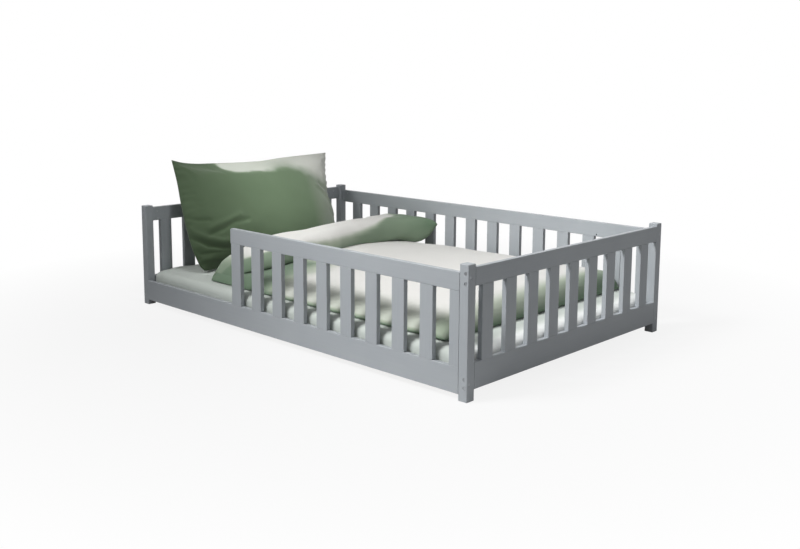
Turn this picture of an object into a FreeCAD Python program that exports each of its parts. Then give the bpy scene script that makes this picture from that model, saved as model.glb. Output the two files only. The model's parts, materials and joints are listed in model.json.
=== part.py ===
"""Toddler floor bed for a 120 x 190 cm mattress, with its bedding.

Frame: origin on the floor under the middle of the bed. +X points to the foot end, +Y to the back,
+Z up. The front (-Y) has the low entry beside the head end. All sizes are in millimetres.
"""
import FreeCAD, Part
import math
import os
import re

import Sketcher

V = FreeCAD.Vector
os.makedirs("parts", exist_ok=True)
doc = FreeCAD.newDocument("toddler_floor_bed")

# ---------------------------------------------------------------- driving sizes
# name, value, what it is. A value that starts with = follows the ones above it.
SIZES = [
    ("bed_length", 1950, "outside of the posts, head to foot"),
    ("bed_width", 1250, "outside of the posts, front to back"),
    ("post_height", 460, "posts"),
    ("post_side", 38, "square posts"),
    ("post_round", 3, "rounding of a post's edges"),
    ("panel_thick", 18, "rails, boards and balusters"),
    ("board_height", 91, "bottom boards"),
    ("slot_height", 256, "open height between board and top rail"),
    ("rail_height", 63, "top rails"),
    ("edge_round", 2, "rounding of a rail's or board's long edges"),
    ("side_base", 22, "floor to the side boards"),
    ("end_lift", 17, "how much higher the end panels sit, so that bolts miss each other"),
    ("slat_wide", 57.5, "balusters"),
    ("slot_wide", 73, "slot width that the spacing aims at"),
    ("tenon_thick", 8, "baluster tenons"),
    ("tenon_inset", 8, "tenon narrower than its baluster, each side"),
    ("tenon_long", 12, "baluster tenons"),
    ("tenon_play", 0.2, "clearance round a tenon"),
    ("guard_length", 1233, "front guard rail, foot post to free end"),
    ("guard_over", 5, "rail past the free end stile"),
    ("guard_nose", 8, "rounded top corner of the free end"),
    ("free_stile", 60, "stile at the guard's free end"),
    ("front_post_stile", 41, "front baluster that lies against the foot post"),
    ("back_post_stile", 64, "back baluster that lies against the foot post"),
    ("head_margin", 50, "head post to the first and last head baluster"),
    ("foot_margin_front", 36, "front post to the first foot baluster"),
    ("foot_margin_back", 65, "last foot baluster to the back post"),
    ("bolt_dia", 6, "frame bolts"),
    ("bolt_hole", 6.4, "holes for the frame bolts"),
    ("bolt_head_dia", 11, "frame bolt heads"),
    ("bolt_head_high", 4, "frame bolt heads"),
    ("bolt_sink_dia", 12, "counterbore for a bolt head"),
    ("bolt_sink", 5, "depth of that counterbore"),
    ("bolt_inset", 12, "bolt axis from the outer face of its panel"),
    ("nut_reach", 34, "post face to the barrel nut's axis"),
    ("nut_dia", 10, "barrel nuts"),
    ("nut_long", 13, "barrel nuts"),
    ("nut_play", 0.1, "clearance round a barrel nut and its bolt"),
    ("end_bolt_low", 9, "board's lower edge to the lower bolt, end panels"),
    ("end_bolt_gap", 28, "lower to upper bolt in an end board"),
    ("end_rail_bolt_low", 10, "rail's lower edge to the lower bolt, end panels"),
    ("end_rail_bolt_gap", 33, "lower to upper bolt in an end rail"),
    ("side_bolt_low", 39, "board's lower edge to the bolt, side panels"),
    ("side_rail_bolt", 47, "rail's lower edge to the bolt, side panels"),
    ("dowel_dia", 8, "wooden dowels"),
    ("dowel_play", 0.1, "clearance round a dowel"),
    ("dowel_long", 30, "half in the post, half in the panel"),
    ("dowel_below", 16, "dowel axis below a board's upper edge"),
    ("rail_dowel_up", 22, "dowel axis above a side rail's lower edge"),
    ("end_rail_dowel_up", 27, "dowel axis above an end rail's lower edge"),
    ("pilot_dia", 7, "blind hole on the inside of the back rail"),
    ("pilot_deep", 8, "that hole"),
    ("pilot_reach", 260, "that hole from the foot post"),
    ("pilot_up", 8, "that hole above the rail's lower edge"),
    ("ledge_wide", 28, "ledges that carry the bed slats"),
    ("ledge_high", 18, "ledges and centre beam"),
    ("ledge_trim", 6, "ledge stops short of each post"),
    ("beam_wide", 60, "centre beam"),
    ("beam_trim", 30, "centre beam stops short of each end board"),
    ("foot_side", 45, "square feet under the centre beam"),
    ("foot_count", 5, "feet under the centre beam"),
    ("foot_inset", 60, "first foot from the beam's end"),
    ("base_slat_wide", 70, "bed slats"),
    ("base_slat_thick", 16, "bed slats"),
    ("base_slat_play", 2, "bed slat to each side board"),
    ("base_slat_count", 14, "bed slats"),
    ("base_slat_inset", 12, "first bed slat from the post"),
    ("screw_dia", 4, "wood screws"),
    ("screw_hole", 4.2, "holes for the wood screws"),
    ("screw_head_dia", 8, "flat screw heads"),
    ("screw_head_high", 2.4, "flat screw heads, sunk flush"),
    ("screw_play", 0.3, "clearance round a sunk head"),
    ("screw_tip_room", 1, "hole past a screw's tip"),
    ("slat_screw_long", 30, "screws that hold the bed slats"),
    ("ledge_screw_long", 38, "screws that hold the ledges"),
    ("foot_screw_long", 34, "floor to the tip of the screws that hold the centre feet"),
    ("foot_sink", 2, "those screws' heads above the floor"),
    ("mattress_play_x", 7, "mattress to each end board"),
    ("mattress_play_y", 7, "mattress to each side board"),
    ("mattress_thick", 100, "mattress"),
    ("mattress_corner", 60, "rounding of the mattress in plan"),
    ("mattress_edge", 28, "rounding of the mattress along its top edge"),
    ("soft_gap", 0.3, "soft pieces to what they lie on"),
    ("sheet_thick", 1, "fitted sheet"),
    ("sheet_hem", 6, "sheet's hem above the mattress's underside"),
    ("duvet_thick", 80, "one layer of the duvet"),
    ("duvet_pressed", 14, "how much the fold presses the layer under it"),
    ("duvet_front", 44, "duvet short of the mattress's front edge"),
    ("duvet_back", 8, "duvet short of the mattress's back edge"),
    ("duvet_foot", 122, "duvet short of the mattress's foot end"),
    ("duvet_head_gap", 68, "pillow's crown to the duvet's fold"),
    ("fold_wide", 230, "folded-back layer, along the bed"),
    ("fold_rise", 128, "crown of the folded-back layer above the duvet"),
    ("fold_nose", 60, "rounding of the fold's free edge"),
    ("fold_slit", 7, "slit under the free edge of the fold"),
    ("fold_sweep", 230, "the fold's back corner lies this much nearer the foot"),
    ("fold_tip_lift", 60, "the fold's back corner is raised this much"),
    ("pillow_wide", 962, "pillow between its corners"),
    ("pillow_high", 555, "pillow between its corners"),
    ("pillow_front", 95, "pillow's crown in front of its seams"),
    ("pillow_back", 116, "pillow's crown behind its seams"),
    ("pillow_draw", 28, "pillow's top edge drawn in between the corners"),
    ("pillow_drop", 16, "pillow's back top corner lower than the front one"),
    ("pillow_twist", 100, "pillow's back lower corner pushed towards the head"),
    ("pillow_sit", 10, "pillow's lower edge drawn in between the corners"),
    ("pillow_seam", 8, "pillow's thickness at its seam"),
    ("pillow_gap", 2.2, "pillow to the head rail"),
    ("pillow_lean", 24.5, "degrees from upright"),
    ("pillow_aside", 6, "pillow's middle in front of the bed's middle"),
]

# Sizes that follow from the ones above.
DERIVED = [
    ("half_x", "bed_length / 2"),
    ("half_y", "bed_width / 2"),
    ("side_span", "bed_length - 2 * post_side"),
    ("end_span", "bed_width - 2 * post_side"),
    ("side_slot_low", "side_base + board_height"),
    ("side_rail_low", "side_slot_low + slot_height"),
    ("end_base", "side_base + end_lift"),
    ("end_slot_low", "end_base + board_height"),
    ("end_rail_low", "end_slot_low + slot_height"),
    ("front_room", "guard_length - guard_over - free_stile - front_post_stile"),
    ("front_count", "round((front_room - slot_wide) / (slat_wide + slot_wide))"),
    ("front_slot", "(front_room - front_count * slat_wide) / (front_count + 1)"),
    ("back_room", "side_span - back_post_stile"),
    ("back_count", "round((back_room - slot_wide) / (slat_wide + slot_wide))"),
    ("back_slot", "(back_room - back_count * slat_wide) / (back_count + 1)"),
    ("head_room", "end_span - 2 * head_margin"),
    ("head_count", "round((head_room + slot_wide) / (slat_wide + slot_wide))"),
    ("head_slot", "(head_room - head_count * slat_wide) / (head_count - 1)"),
    ("foot_room", "end_span - foot_margin_front - foot_margin_back"),
    ("foot_slat_count", "round((foot_room + slot_wide) / (slat_wide + slot_wide))"),
    ("foot_slot", "(foot_room - foot_slat_count * slat_wide) / (foot_slat_count - 1)"),
    ("slat_top", "side_base + ledge_high + base_slat_thick"),
    ("ledge_long", "side_span - 2 * ledge_trim"),
    ("beam_long", "bed_length - 2 * panel_thick - 2 * beam_trim"),
    ("base_slat_long", "bed_width - 2 * panel_thick - 2 * base_slat_play"),
    ("base_slat_run", "side_span - 2 * base_slat_inset - base_slat_wide"),
    ("ledge_screw_count", "floor(base_slat_count / 2)"),
    ("mattress_long", "bed_length - 2 * panel_thick - 2 * mattress_play_x"),
    ("mattress_wide", "bed_width - 2 * panel_thick - 2 * mattress_play_y"),
    ("mattress_low", "slat_top + soft_gap"),
    ("mattress_top", "mattress_low + mattress_thick"),
    ("sheet_grow", "soft_gap + sheet_thick"),
    ("sheet_top", "mattress_top + sheet_grow"),
    ("bedding_low", "sheet_top + soft_gap"),
]

sheet = doc.addObject("Spreadsheet::Sheet", "sizes")
for row, (name, value, note) in enumerate(SIZES, start=1):
    sheet.set("A%d" % row, name)
    sheet.set("B%d" % row, str(value))
    sheet.set("C%d" % row, note)
    sheet.setAlias("B%d" % row, name)
for row, (name, formula) in enumerate(DERIVED, start=len(SIZES) + 1):
    sheet.set("A%d" % row, name)
    sheet.set("B%d" % row, "=" + formula)
    sheet.setAlias("B%d" % row, name)
doc.recompute()

NAMES = {name for name, *rest in SIZES + DERIVED}
NODES = []


def size(name):
    """The sheet's value of one size, as a number."""
    return float(getattr(sheet, name))


def bound(formula):
    """An expression for setExpression: each size's name gets the sheet's name in front."""
    return re.sub(r"[a-z][a-z_]*", lambda m: "sizes." + m[0] if m[0] in NAMES else m[0], formula)


def bind(thing, prop, formula):
    """Ties one property to a formula of the sheet's sizes."""
    thing.setExpression(prop, bound(formula))


# ---------------------------------------------------------------- helpers
def origin_plane(body, role):
    """A body's own origin plane, such as XY_Plane."""
    return [f for f in body.Origin.OriginFeatures if f.Role == role][0]


def node(kind, label):
    """A document object that becomes the node of that name."""
    thing = doc.addObject(kind, label)
    thing.Label = label
    NODES.append(thing)
    return thing


def looks_back(sketch):
    """A sketch on the XZ plane has its normal along -Y."""
    return sketch.AttachmentSupport[0][0].Role == "XZ_Plane"


def new_sketch(body, name, role, offset="0"):
    """A sketch on an origin plane, moved along the plane's positive axis by a formula."""
    sketch = body.newObject("Sketcher::SketchObject", body.Label + "_" + name)
    sketch.AttachmentSupport = [(origin_plane(body, role), "")]
    sketch.MapMode = "FlatFace"
    sign = "-" if looks_back(sketch) else ""
    bind(sketch, "AttachmentOffset.Base.z", "%s(%s)" % (sign, offset))
    return sketch


def dimension(sketch, kind, args, formula):
    """Adds one driving constraint and ties it to the sheet."""
    index = sketch.addConstraint(Sketcher.Constraint(kind, *args, 1.0))
    name = "size_%d" % index
    sketch.renameConstraint(index, name)
    bind(sketch, "Constraints." + name, formula)


def rectangle(sketch, left, low, wide, high):
    """A rectangle by formulas. "0" puts its lower left corner on that axis."""
    corners = [V(1, 1, 0), V(2, 1, 0), V(2, 2, 0), V(1, 2, 0)]
    for i in range(4):
        sketch.addGeometry(Part.LineSegment(corners[i], corners[(i + 1) % 4]), False)
    for i in range(4):
        sketch.addConstraint(Sketcher.Constraint("Coincident", i, 2, (i + 1) % 4, 1))
    for i, kind in enumerate(["Horizontal", "Vertical"] * 2):
        sketch.addConstraint(Sketcher.Constraint(kind, i))
    for kind, axis, formula in (("DistanceX", -2, left), ("DistanceY", -1, low)):
        if formula == "0":
            sketch.addConstraint(Sketcher.Constraint("PointOnObject", 0, 1, axis))
        else:
            dimension(sketch, kind, (-1, 1, 0, 1), formula)
    dimension(sketch, "DistanceX", (0, 1, 0, 2), wide)
    dimension(sketch, "DistanceY", (1, 1, 1, 2), high)


def circle(sketch, across, up, diameter):
    """A circle by formulas, in the sketch's positive quarter."""
    index = sketch.addGeometry(Part.Circle(V(5, 5, 0), V(0, 0, 1), 1), False)
    dimension(sketch, "DistanceX", (-1, 1, index, 3), across)
    dimension(sketch, "DistanceY", (-1, 1, index, 3), up)
    dimension(sketch, "Diameter", (index,), diameter)


def pad(body, sketch, length):
    """Pads a sketch towards the positive side of its plane."""
    feature = body.newObject("PartDesign::Pad", sketch.Label + "_pad")
    feature.Profile = sketch
    feature.Reversed = looks_back(sketch)
    bind(feature, "Length", length)
    return feature


def pocket(body, sketch, length, backwards=False):
    """Pockets a sketch towards the positive side of its plane, or backwards."""
    feature = body.newObject("PartDesign::Pocket", sketch.Label + "_pocket")
    feature.Profile = sketch
    feature.Reversed = looks_back(sketch) == backwards
    bind(feature, "Length", length)
    return feature


def row_of(body, features, role, step, count):
    """Repeats features along the normal of one of the body's planes, as the body's tip."""
    pattern = body.newObject("PartDesign::LinearPattern", features[-1].Label + "_row")
    pattern.Originals = features
    pattern.Direction = (origin_plane(body, role), [""])
    bind(pattern, "Length", "(%s) * (%s - 1)" % (step, count))
    bind(pattern, "Occurrences", count)
    body.Tip = pattern
    return pattern


def round_edges(body, base, radius, chosen):
    """Fillets the edges of a feature that the test chosen(edge) picks."""
    doc.recompute()
    names = ["Edge%d" % i for i, edge in enumerate(base.Shape.Edges, 1) if chosen(edge)]
    fillet = body.newObject("PartDesign::Fillet", base.Label + "_rounding")
    fillet.Base = (base, names)
    bind(fillet, "Radius", radius)
    body.Tip = fillet
    doc.recompute()
    return fillet


def runs_along(axis, edge):
    """True for a straight edge along one axis (0, 1 or 2)."""
    box = edge.BoundBox
    spans = [box.XLength, box.YLength, box.ZLength]
    return spans[axis] > 1 and sum(spans) - spans[axis] < 0.01


# The panels share one local frame: x along the panel from one post's inner face to the other's,
# y inward from the outer face, z up from the floor. Each has its start corner and its turn.
PANELS = {
    "front": ("-half_x + post_side", "-half_y", 0),
    "back": ("half_x - post_side", "half_y", 180),
    "head": ("-half_x", "half_y - post_side", -90),
    "foot": ("half_x", "-half_y + post_side", 90),
}
AXES = {0: (1, 0), 90: (0, 1), 180: (-1, 0), -90: (0, -1)}


def in_panel(panel, x, y):
    """World x and y formulas of a point in a panel's local frame."""
    corner_x, corner_y, turn = PANELS[panel]
    ax, ay = AXES[turn]
    world_x = "%s + %d * (%s) - %d * (%s)" % (corner_x, ax, x, ay, y)
    world_y = "%s + %d * (%s) + %d * (%s)" % (corner_y, ay, x, ax, y)
    return world_x, world_y


def place(thing, at_x, at_y, at_z, rotation=FreeCAD.Rotation()):
    """Puts a thing in the bed's frame, with its base bound to formulas."""
    thing.Placement = FreeCAD.Placement(V(0, 0, 0), rotation)
    for axis, formula in zip("xyz", (at_x, at_y, at_z)):
        bind(thing, "Placement.Base." + axis, formula)


def place_in_panel(thing, panel, x, y, z):
    """Puts a node, drawn in a panel's local directions, at a point of that panel."""
    turn = FreeCAD.Rotation(V(0, 0, 1), PANELS[panel][2])
    place(thing, *in_panel(panel, x, y), z, turn)


# ---------------------------------------------------------------- where the fixings go
# Heights above the floor of bolts and dowels, for the end panels and the side panels.
END_BOLTS = {
    "board": ["end_base + end_bolt_low", "end_base + end_bolt_low + end_bolt_gap"],
    "rail": ["end_rail_low + end_rail_bolt_low",
             "end_rail_low + end_rail_bolt_low + end_rail_bolt_gap"],
}
SIDE_BOLTS = {
    "board": ["side_base + side_bolt_low"],
    "rail": ["side_rail_low + side_rail_bolt"],
}
END_DOWELS = {
    "board": "end_slot_low - dowel_below",
    "rail": "end_rail_low + end_rail_dowel_up",
}
SIDE_DOWELS = {
    "board": "side_slot_low - dowel_below",
    "rail": "side_rail_low + rail_dowel_up",
}
# Each joint between a bar and a post: panel, bar, and which end of the panel it is at.
JOINTS = [(panel, bar, end) for panel in PANELS for bar in ("board", "rail")
          for end in ("near", "far")
          if (panel, bar, end) != ("front", "rail", "near")]


def fixings(panel, bar):
    """Bolt heights and the dowel height of one bar."""
    if panel in ("head", "foot"):
        return END_BOLTS[bar], END_DOWELS[bar]
    return SIDE_BOLTS[bar], SIDE_DOWELS[bar]


def span(panel):
    """The panel's length between its posts."""
    return "end_span" if panel in ("head", "foot") else "side_span"


# ---------------------------------------------------------------- posts
def post(label, corner_x, corner_y, turn, along_x, along_y):
    """A square post, drawn from its outer corner inward.

    along_x and along_y are the bars that meet it along its local x and y, as (panel, bar)."""
    body = node("PartDesign::Body", label)
    section = new_sketch(body, "section", "XY_Plane")
    rectangle(section, "0", "0", "post_side", "post_side")
    block = pad(body, section, "post_height")
    round_edges(body, block, "post_round", lambda edge: True)
    for role, bars in (("YZ_Plane", along_x), ("XZ_Plane", along_y)):
        for cut, offset, deep in (("bolt", "0", "post_side"), ("sink", "0", "bolt_sink")):
            holes = new_sketch(body, "%s_%s" % (cut, role[:2]), role, offset)
            for panel, bar in bars:
                for up in fixings(panel, bar)[0]:
                    circle(holes, "bolt_inset", up, "bolt_hole" if cut == "bolt" else "bolt_sink_dia")
            pocket(body, holes, deep)
        pegs = new_sketch(body, "dowel_" + role[:2], role, "post_side - dowel_long / 2 - dowel_play")
        for panel, bar in bars:
            circle(pegs, "panel_thick / 2", fixings(panel, bar)[1], "dowel_dia + 2 * dowel_play")
        pocket(body, pegs, "dowel_long / 2 + dowel_play")
    place(body, corner_x, corner_y, "0 * post_side", FreeCAD.Rotation(V(0, 0, 1), turn))


post("post_head_front", "-half_x", "-half_y", 0,
     [("front", "board")], [("head", "board"), ("head", "rail")])
post("post_foot_front", "half_x", "-half_y", 90,
     [("foot", "board"), ("foot", "rail")], [("front", "board"), ("front", "rail")])
post("post_foot_back", "half_x", "half_y", 180,
     [("back", "board"), ("back", "rail")], [("foot", "board"), ("foot", "rail")])
post("post_head_back", "-half_x", "half_y", -90,
     [("head", "board"), ("head", "rail")], [("back", "board"), ("back", "rail")])


# ---------------------------------------------------------------- rails and boards
def bar_body(label, panel, bar, low, high, start="0"):
    """A rail or board with its bolt, barrel nut and dowel holes, from start to the far post.

    A bar that starts short of the near post has a free end there, with a rounded top corner."""
    body = node("PartDesign::Body", label)
    length = span(panel) if start == "0" else "%s - (%s)" % (span(panel), start)
    section = new_sketch(body, "section", "YZ_Plane")
    rectangle(section, "0", "0", "panel_thick", high)
    block = pad(body, section, length)
    if start == "0":
        round_edges(body, block, "edge_round", lambda edge: runs_along(0, edge))
    else:
        doc.recompute()
        far, top = block.Shape.BoundBox.XMax, block.Shape.BoundBox.ZMax
        nose = round_edges(body, block, "guard_nose", lambda edge: runs_along(1, edge)
                           and edge.BoundBox.XMax < 1 and edge.BoundBox.ZMin > top - 1)
        round_edges(body, nose, "edge_round", lambda edge: edge.BoundBox.XMin < far - 1
                    and not (runs_along(1, edge) and edge.BoundBox.ZMin > 1))
    bolts, dowel = fixings(panel, bar)
    for end in ("near", "far"):
        if (panel, bar, end) not in JOINTS:
            continue
        reach = "(nut_reach + nut_dia)"
        holes = new_sketch(body, "bolt_" + end, "YZ_Plane",
                           "0" if end == "near" else "%s - %s" % (length, reach))
        pegs = new_sketch(body, "dowel_" + end, "YZ_Plane",
                          "0" if end == "near" else "%s - dowel_long / 2 - dowel_play" % length)
        nuts = new_sketch(body, "nut_" + end, "XZ_Plane", "panel_thick")
        across = "nut_reach" if end == "near" else length + " - nut_reach"
        for up in bolts:
            circle(holes, "bolt_inset", "%s - (%s)" % (up, low), "bolt_hole")
            circle(nuts, across, "%s - (%s)" % (up, low), "nut_dia + 2 * nut_play")
        circle(pegs, "panel_thick / 2", "%s - (%s)" % (dowel, low), "dowel_dia + 2 * dowel_play")
        pocket(body, holes, reach)
        pocket(body, pegs, "dowel_long / 2 + dowel_play")
        pocket(body, nuts, "nut_long + nut_play", backwards=True)
    place_in_panel(body, panel, start, "0", low)
    return body


def low_of(panel, bar):
    """Height of a bar's lower edge above the floor."""
    kind = "end" if panel in ("head", "foot") else "side"
    if bar == "rail":
        return kind + "_rail_low"
    return kind + "_base"


BARS = {}
for panel in PANELS:
    BARS[panel, "board"] = bar_body(panel + "_bottom_board", panel, "board",
                                    low_of(panel, "board"), "board_height")
    start = "side_span - guard_length" if panel == "front" else "0"
    label = "front_guard_rail" if panel == "front" else panel + "_top_rail"
    BARS[panel, "rail"] = bar_body(label, panel, "rail", low_of(panel, "rail"), "rail_height", start)

# The blind hole on the inside of the back rail.
back_rail = BARS["back", "rail"]
pilot = new_sketch(back_rail, "pilot", "XZ_Plane", "panel_thick")
circle(pilot, "pilot_reach", "pilot_up", "pilot_dia")
pocket(back_rail, pilot, "pilot_deep", backwards=True)


# ---------------------------------------------------------------- balusters
def mortise(panel, bar, tag, first, slat, step="0", count="1"):
    """Mortises for one row of balusters. first is the left edge of the first baluster."""
    body = BARS[panel, bar]
    start = "(side_span - guard_length)" if (panel, bar) == ("front", "rail") else "0"
    low = "board_height - tenon_long - tenon_play" if bar == "board" else "0"
    outline = new_sketch(body, "mortise_" + tag, "XZ_Plane",
                         "(panel_thick - tenon_thick) / 2 - tenon_play")
    rectangle(outline, "%s - %s + tenon_inset - tenon_play" % (first, start), low,
              "%s - 2 * tenon_inset + 2 * tenon_play" % slat, "tenon_long + tenon_play")
    hole = pocket(body, outline, "tenon_thick + 2 * tenon_play")
    if count != "1":
        row_of(body, [hole], "YZ_Plane", step, count)


def baluster(label, panel, first, slat, step="0", count="1"):
    """A baluster with a tongue that ends in a tenon above and below, or a row of them."""
    body = node("PartDesign::Body", label)
    face = new_sketch(body, "face", "XZ_Plane")
    rectangle(face, "0", "tenon_long", slat, "slot_height")
    tongue = new_sketch(body, "tongue", "XZ_Plane", "(panel_thick - tenon_thick) / 2")
    rectangle(tongue, "tenon_inset", "0", "%s - 2 * tenon_inset" % slat,
              "slot_height + 2 * tenon_long")
    parts = [pad(body, face, "panel_thick"), pad(body, tongue, "tenon_thick")]
    if count != "1":
        row_of(body, parts, "YZ_Plane", step, count)
    place_in_panel(body, panel, first, "0", low_of(panel, "board") + " + board_height - tenon_long")


def row(panel, first, slot, count, names):
    """A row of evenly spaced balusters, as one node or as one node each."""
    step = "(slat_wide + %s)" % slot
    for bar in ("board", "rail"):
        mortise(panel, bar, "row", first, "slat_wide", step, count)
    if names == "together":
        baluster(panel + "_balusters", panel, first, "slat_wide", step, count)
        return
    for i in range(int(size(count))):
        baluster("%s_baluster_%d" % (panel, i + 1), panel, "%s + %d * %s" % (first, i, step),
                 "slat_wide")


def stile(label, panel, first, slat):
    """A wider or narrower baluster of its own, at the end of a row."""
    for bar in ("board", "rail"):
        mortise(panel, bar, label, first, slat)
    baluster(label, panel, first, slat)


FREE_END = "side_span - guard_length + guard_over"
stile("front_end_stile", "front", FREE_END, "free_stile")
row("front", FREE_END + " + free_stile + front_slot", "front_slot", "front_count", "apart")
stile("front_post_stile", "front", "side_span - front_post_stile", "front_post_stile")
stile("back_post_stile", "back", "0", "back_post_stile")
row("back", "back_post_stile + back_slot", "back_slot", "back_count", "together")
row("head", "head_margin", "head_slot", "head_count", "together")
row("foot", "foot_margin_front", "foot_slot", "foot_slat_count", "apart")


# ---------------------------------------------------------------- bolts, barrel nuts and dowels
def cylinder(name, diameter, length, at, axis):
    """A cylinder by formulas from a point along an axis."""
    thing = doc.addObject("Part::Cylinder", name)
    bind(thing, "Radius", "(%s) / 2" % diameter)
    bind(thing, "Height", length)
    place(thing, *at, FreeCAD.Rotation(V(0, 0, 1), axis))
    return thing


def boolean(kind, name, first, second):
    """A Part::Fuse or Part::Cut of two things."""
    thing = doc.addObject(kind, name)
    thing.Base = first
    thing.Tool = second
    return thing


bolts = []
nuts = []
dowels = []
for panel, bar, end in JOINTS:
    along = AXES[PANELS[panel][2]]
    sign = 1 if end == "near" else -1
    way = V(sign * along[0], sign * along[1], 0)
    inward = V(-along[1], along[0], 0)
    heights, peg_height = fixings(panel, bar)

    def at(x, y, z, panel=panel, end=end):
        """A point by its distance past the post's inner face, into the panel."""
        local = x if end == "near" else "%s - (%s)" % (span(panel), x)
        return (*in_panel(panel, local, y), z)

    for up in heights:
        tag = "%s_%s_%s_%d" % (panel, bar, end, len(bolts))
        head = cylinder("head_" + tag, "bolt_head_dia", "bolt_head_high",
                        at("bolt_sink - bolt_head_high - post_side", "bolt_inset", up), way)
        shank = cylinder("shank_" + tag, "bolt_dia",
                         "post_side - bolt_sink + nut_reach + nut_dia / 2 + nut_play",
                         at("bolt_sink - post_side", "bolt_inset", up), way)
        bolts.append(boolean("Part::Fuse", "bolt_" + tag, head, shank))
        barrel = cylinder("barrel_" + tag, "nut_dia", "nut_long",
                          at("nut_reach", "panel_thick - nut_long", up), inward)
        thread = cylinder("thread_" + tag, "bolt_dia + 2 * nut_play", "2 * nut_dia",
                          at("nut_reach - nut_dia", "bolt_inset", up), way)
        nuts.append(boolean("Part::Cut", "nut_" + tag, barrel, thread))
    dowels.append(cylinder("dowel_%s_%s_%s" % (panel, bar, end), "dowel_dia", "dowel_long",
                           at("-dowel_long / 2", "panel_thick / 2", peg_height), way))

for label, group in (("frame_bolts", bolts), ("barrel_nuts", nuts), ("frame_dowels", dowels)):
    node("Part::Compound", label).Links = group


# ---------------------------------------------------------------- slatted base
BASE_STEP = "(base_slat_run / (base_slat_count - 1))"
BASE_FIRST = "base_slat_inset + base_slat_wide / 2"
LEDGE_FIRST = BASE_FIRST + " + " + BASE_STEP + " / 2"
LEDGE_STEP = "(2 * " + BASE_STEP + ")"
PILOT_FROM_TOP = "(slat_screw_long - base_slat_thick + screw_tip_room)"


def pilot_row(body, face, offset, across, up, length, step, count, backwards, dia="screw_hole"):
    """A row of round holes along a bar's local x."""
    holes = new_sketch(body, "holes_%d" % len(body.Group), face, offset)
    for height in up:
        circle(holes, across, height, dia)
    cut = pocket(body, holes, length, backwards)
    row_of(body, [cut], "YZ_Plane", step, count)


for side in ("front", "back"):
    ledge = node("PartDesign::Body", side + "_ledge")
    section = new_sketch(ledge, "section", "YZ_Plane")
    rectangle(section, "0", "0", "ledge_wide", "ledge_high")
    pad(ledge, section, "ledge_long")
    pilot_row(ledge, "XY_Plane", "ledge_high", BASE_FIRST + " - ledge_trim", ["ledge_wide / 2"],
              PILOT_FROM_TOP, BASE_STEP, "base_slat_count", True)
    pilot_row(ledge, "XZ_Plane", "0", LEDGE_FIRST + " - ledge_trim", ["ledge_high / 2"],
              "ledge_wide", LEDGE_STEP, "ledge_screw_count", False)
    pilot_row(ledge, "XZ_Plane", "ledge_wide", LEDGE_FIRST + " - ledge_trim", ["ledge_high / 2"],
              "screw_head_high", LEDGE_STEP, "ledge_screw_count", True, "screw_head_dia + 2 * screw_play")
    place_in_panel(ledge, side, "ledge_trim", "panel_thick", "side_base")
    pilot_row(BARS[side, "board"], "XZ_Plane", "panel_thick", LEDGE_FIRST, ["ledge_high / 2"],
              "ledge_screw_long - ledge_wide + screw_tip_room", LEDGE_STEP, "ledge_screw_count", True)
    screws = node("PartDesign::Body", side + "_ledge_screws")
    shank = new_sketch(screws, "shank", "XZ_Plane", "screw_tip_room")
    circle(shank, "screw_head_dia", "screw_head_dia", "screw_dia")
    head = new_sketch(screws, "head", "XZ_Plane",
                      "screw_tip_room + ledge_screw_long - screw_head_high")
    circle(head, "screw_head_dia", "screw_head_dia", "screw_head_dia")
    parts = [pad(screws, shank, "ledge_screw_long"), pad(screws, head, "screw_head_high")]
    row_of(screws, parts, "YZ_Plane", LEDGE_STEP, "ledge_screw_count")
    place_in_panel(screws, side, LEDGE_FIRST + " - screw_head_dia",
                   "panel_thick + ledge_wide - ledge_screw_long - screw_tip_room",
                   "side_base + ledge_high / 2 - screw_head_dia")

# Screws that hold the bed slats to the front ledge, the centre beam and the back ledge.
SCREW_LINES = ["ledge_wide / 2 - base_slat_play", "base_slat_long / 2",
               "base_slat_long - ledge_wide / 2 + base_slat_play"]
base = node("PartDesign::Body", "base_slats")
plank = new_sketch(base, "plank", "XY_Plane")
rectangle(plank, "0", "0", "base_slat_wide", "base_slat_long")
through = new_sketch(base, "through", "XY_Plane")
sunk = new_sketch(base, "sunk", "XY_Plane", "base_slat_thick - screw_head_high")
for line in SCREW_LINES:
    circle(through, "base_slat_wide / 2", line, "screw_hole")
    circle(sunk, "base_slat_wide / 2", line, "screw_head_dia + 2 * screw_play")
parts = [pad(base, plank, "base_slat_thick"), pocket(base, through, "base_slat_thick"),
         pocket(base, sunk, "screw_head_high")]
row_of(base, parts, "YZ_Plane", BASE_STEP, "base_slat_count")
place(base, "-side_span / 2 + base_slat_inset", "-base_slat_long / 2", "side_base + ledge_high")

slat_screws = node("PartDesign::Body", "slat_screws")
shanks = new_sketch(slat_screws, "shanks", "XY_Plane")
heads = new_sketch(slat_screws, "heads", "XY_Plane", "slat_screw_long - screw_head_high")
for line in SCREW_LINES:
    circle(shanks, "base_slat_wide / 2", line, "screw_dia")
    circle(heads, "base_slat_wide / 2", line, "screw_head_dia")
parts = [pad(slat_screws, shanks, "slat_screw_long"), pad(slat_screws, heads, "screw_head_high")]
row_of(slat_screws, parts, "YZ_Plane", BASE_STEP, "base_slat_count")
place(slat_screws, "-side_span / 2 + base_slat_inset", "-base_slat_long / 2",
      "slat_top - slat_screw_long")

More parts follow.
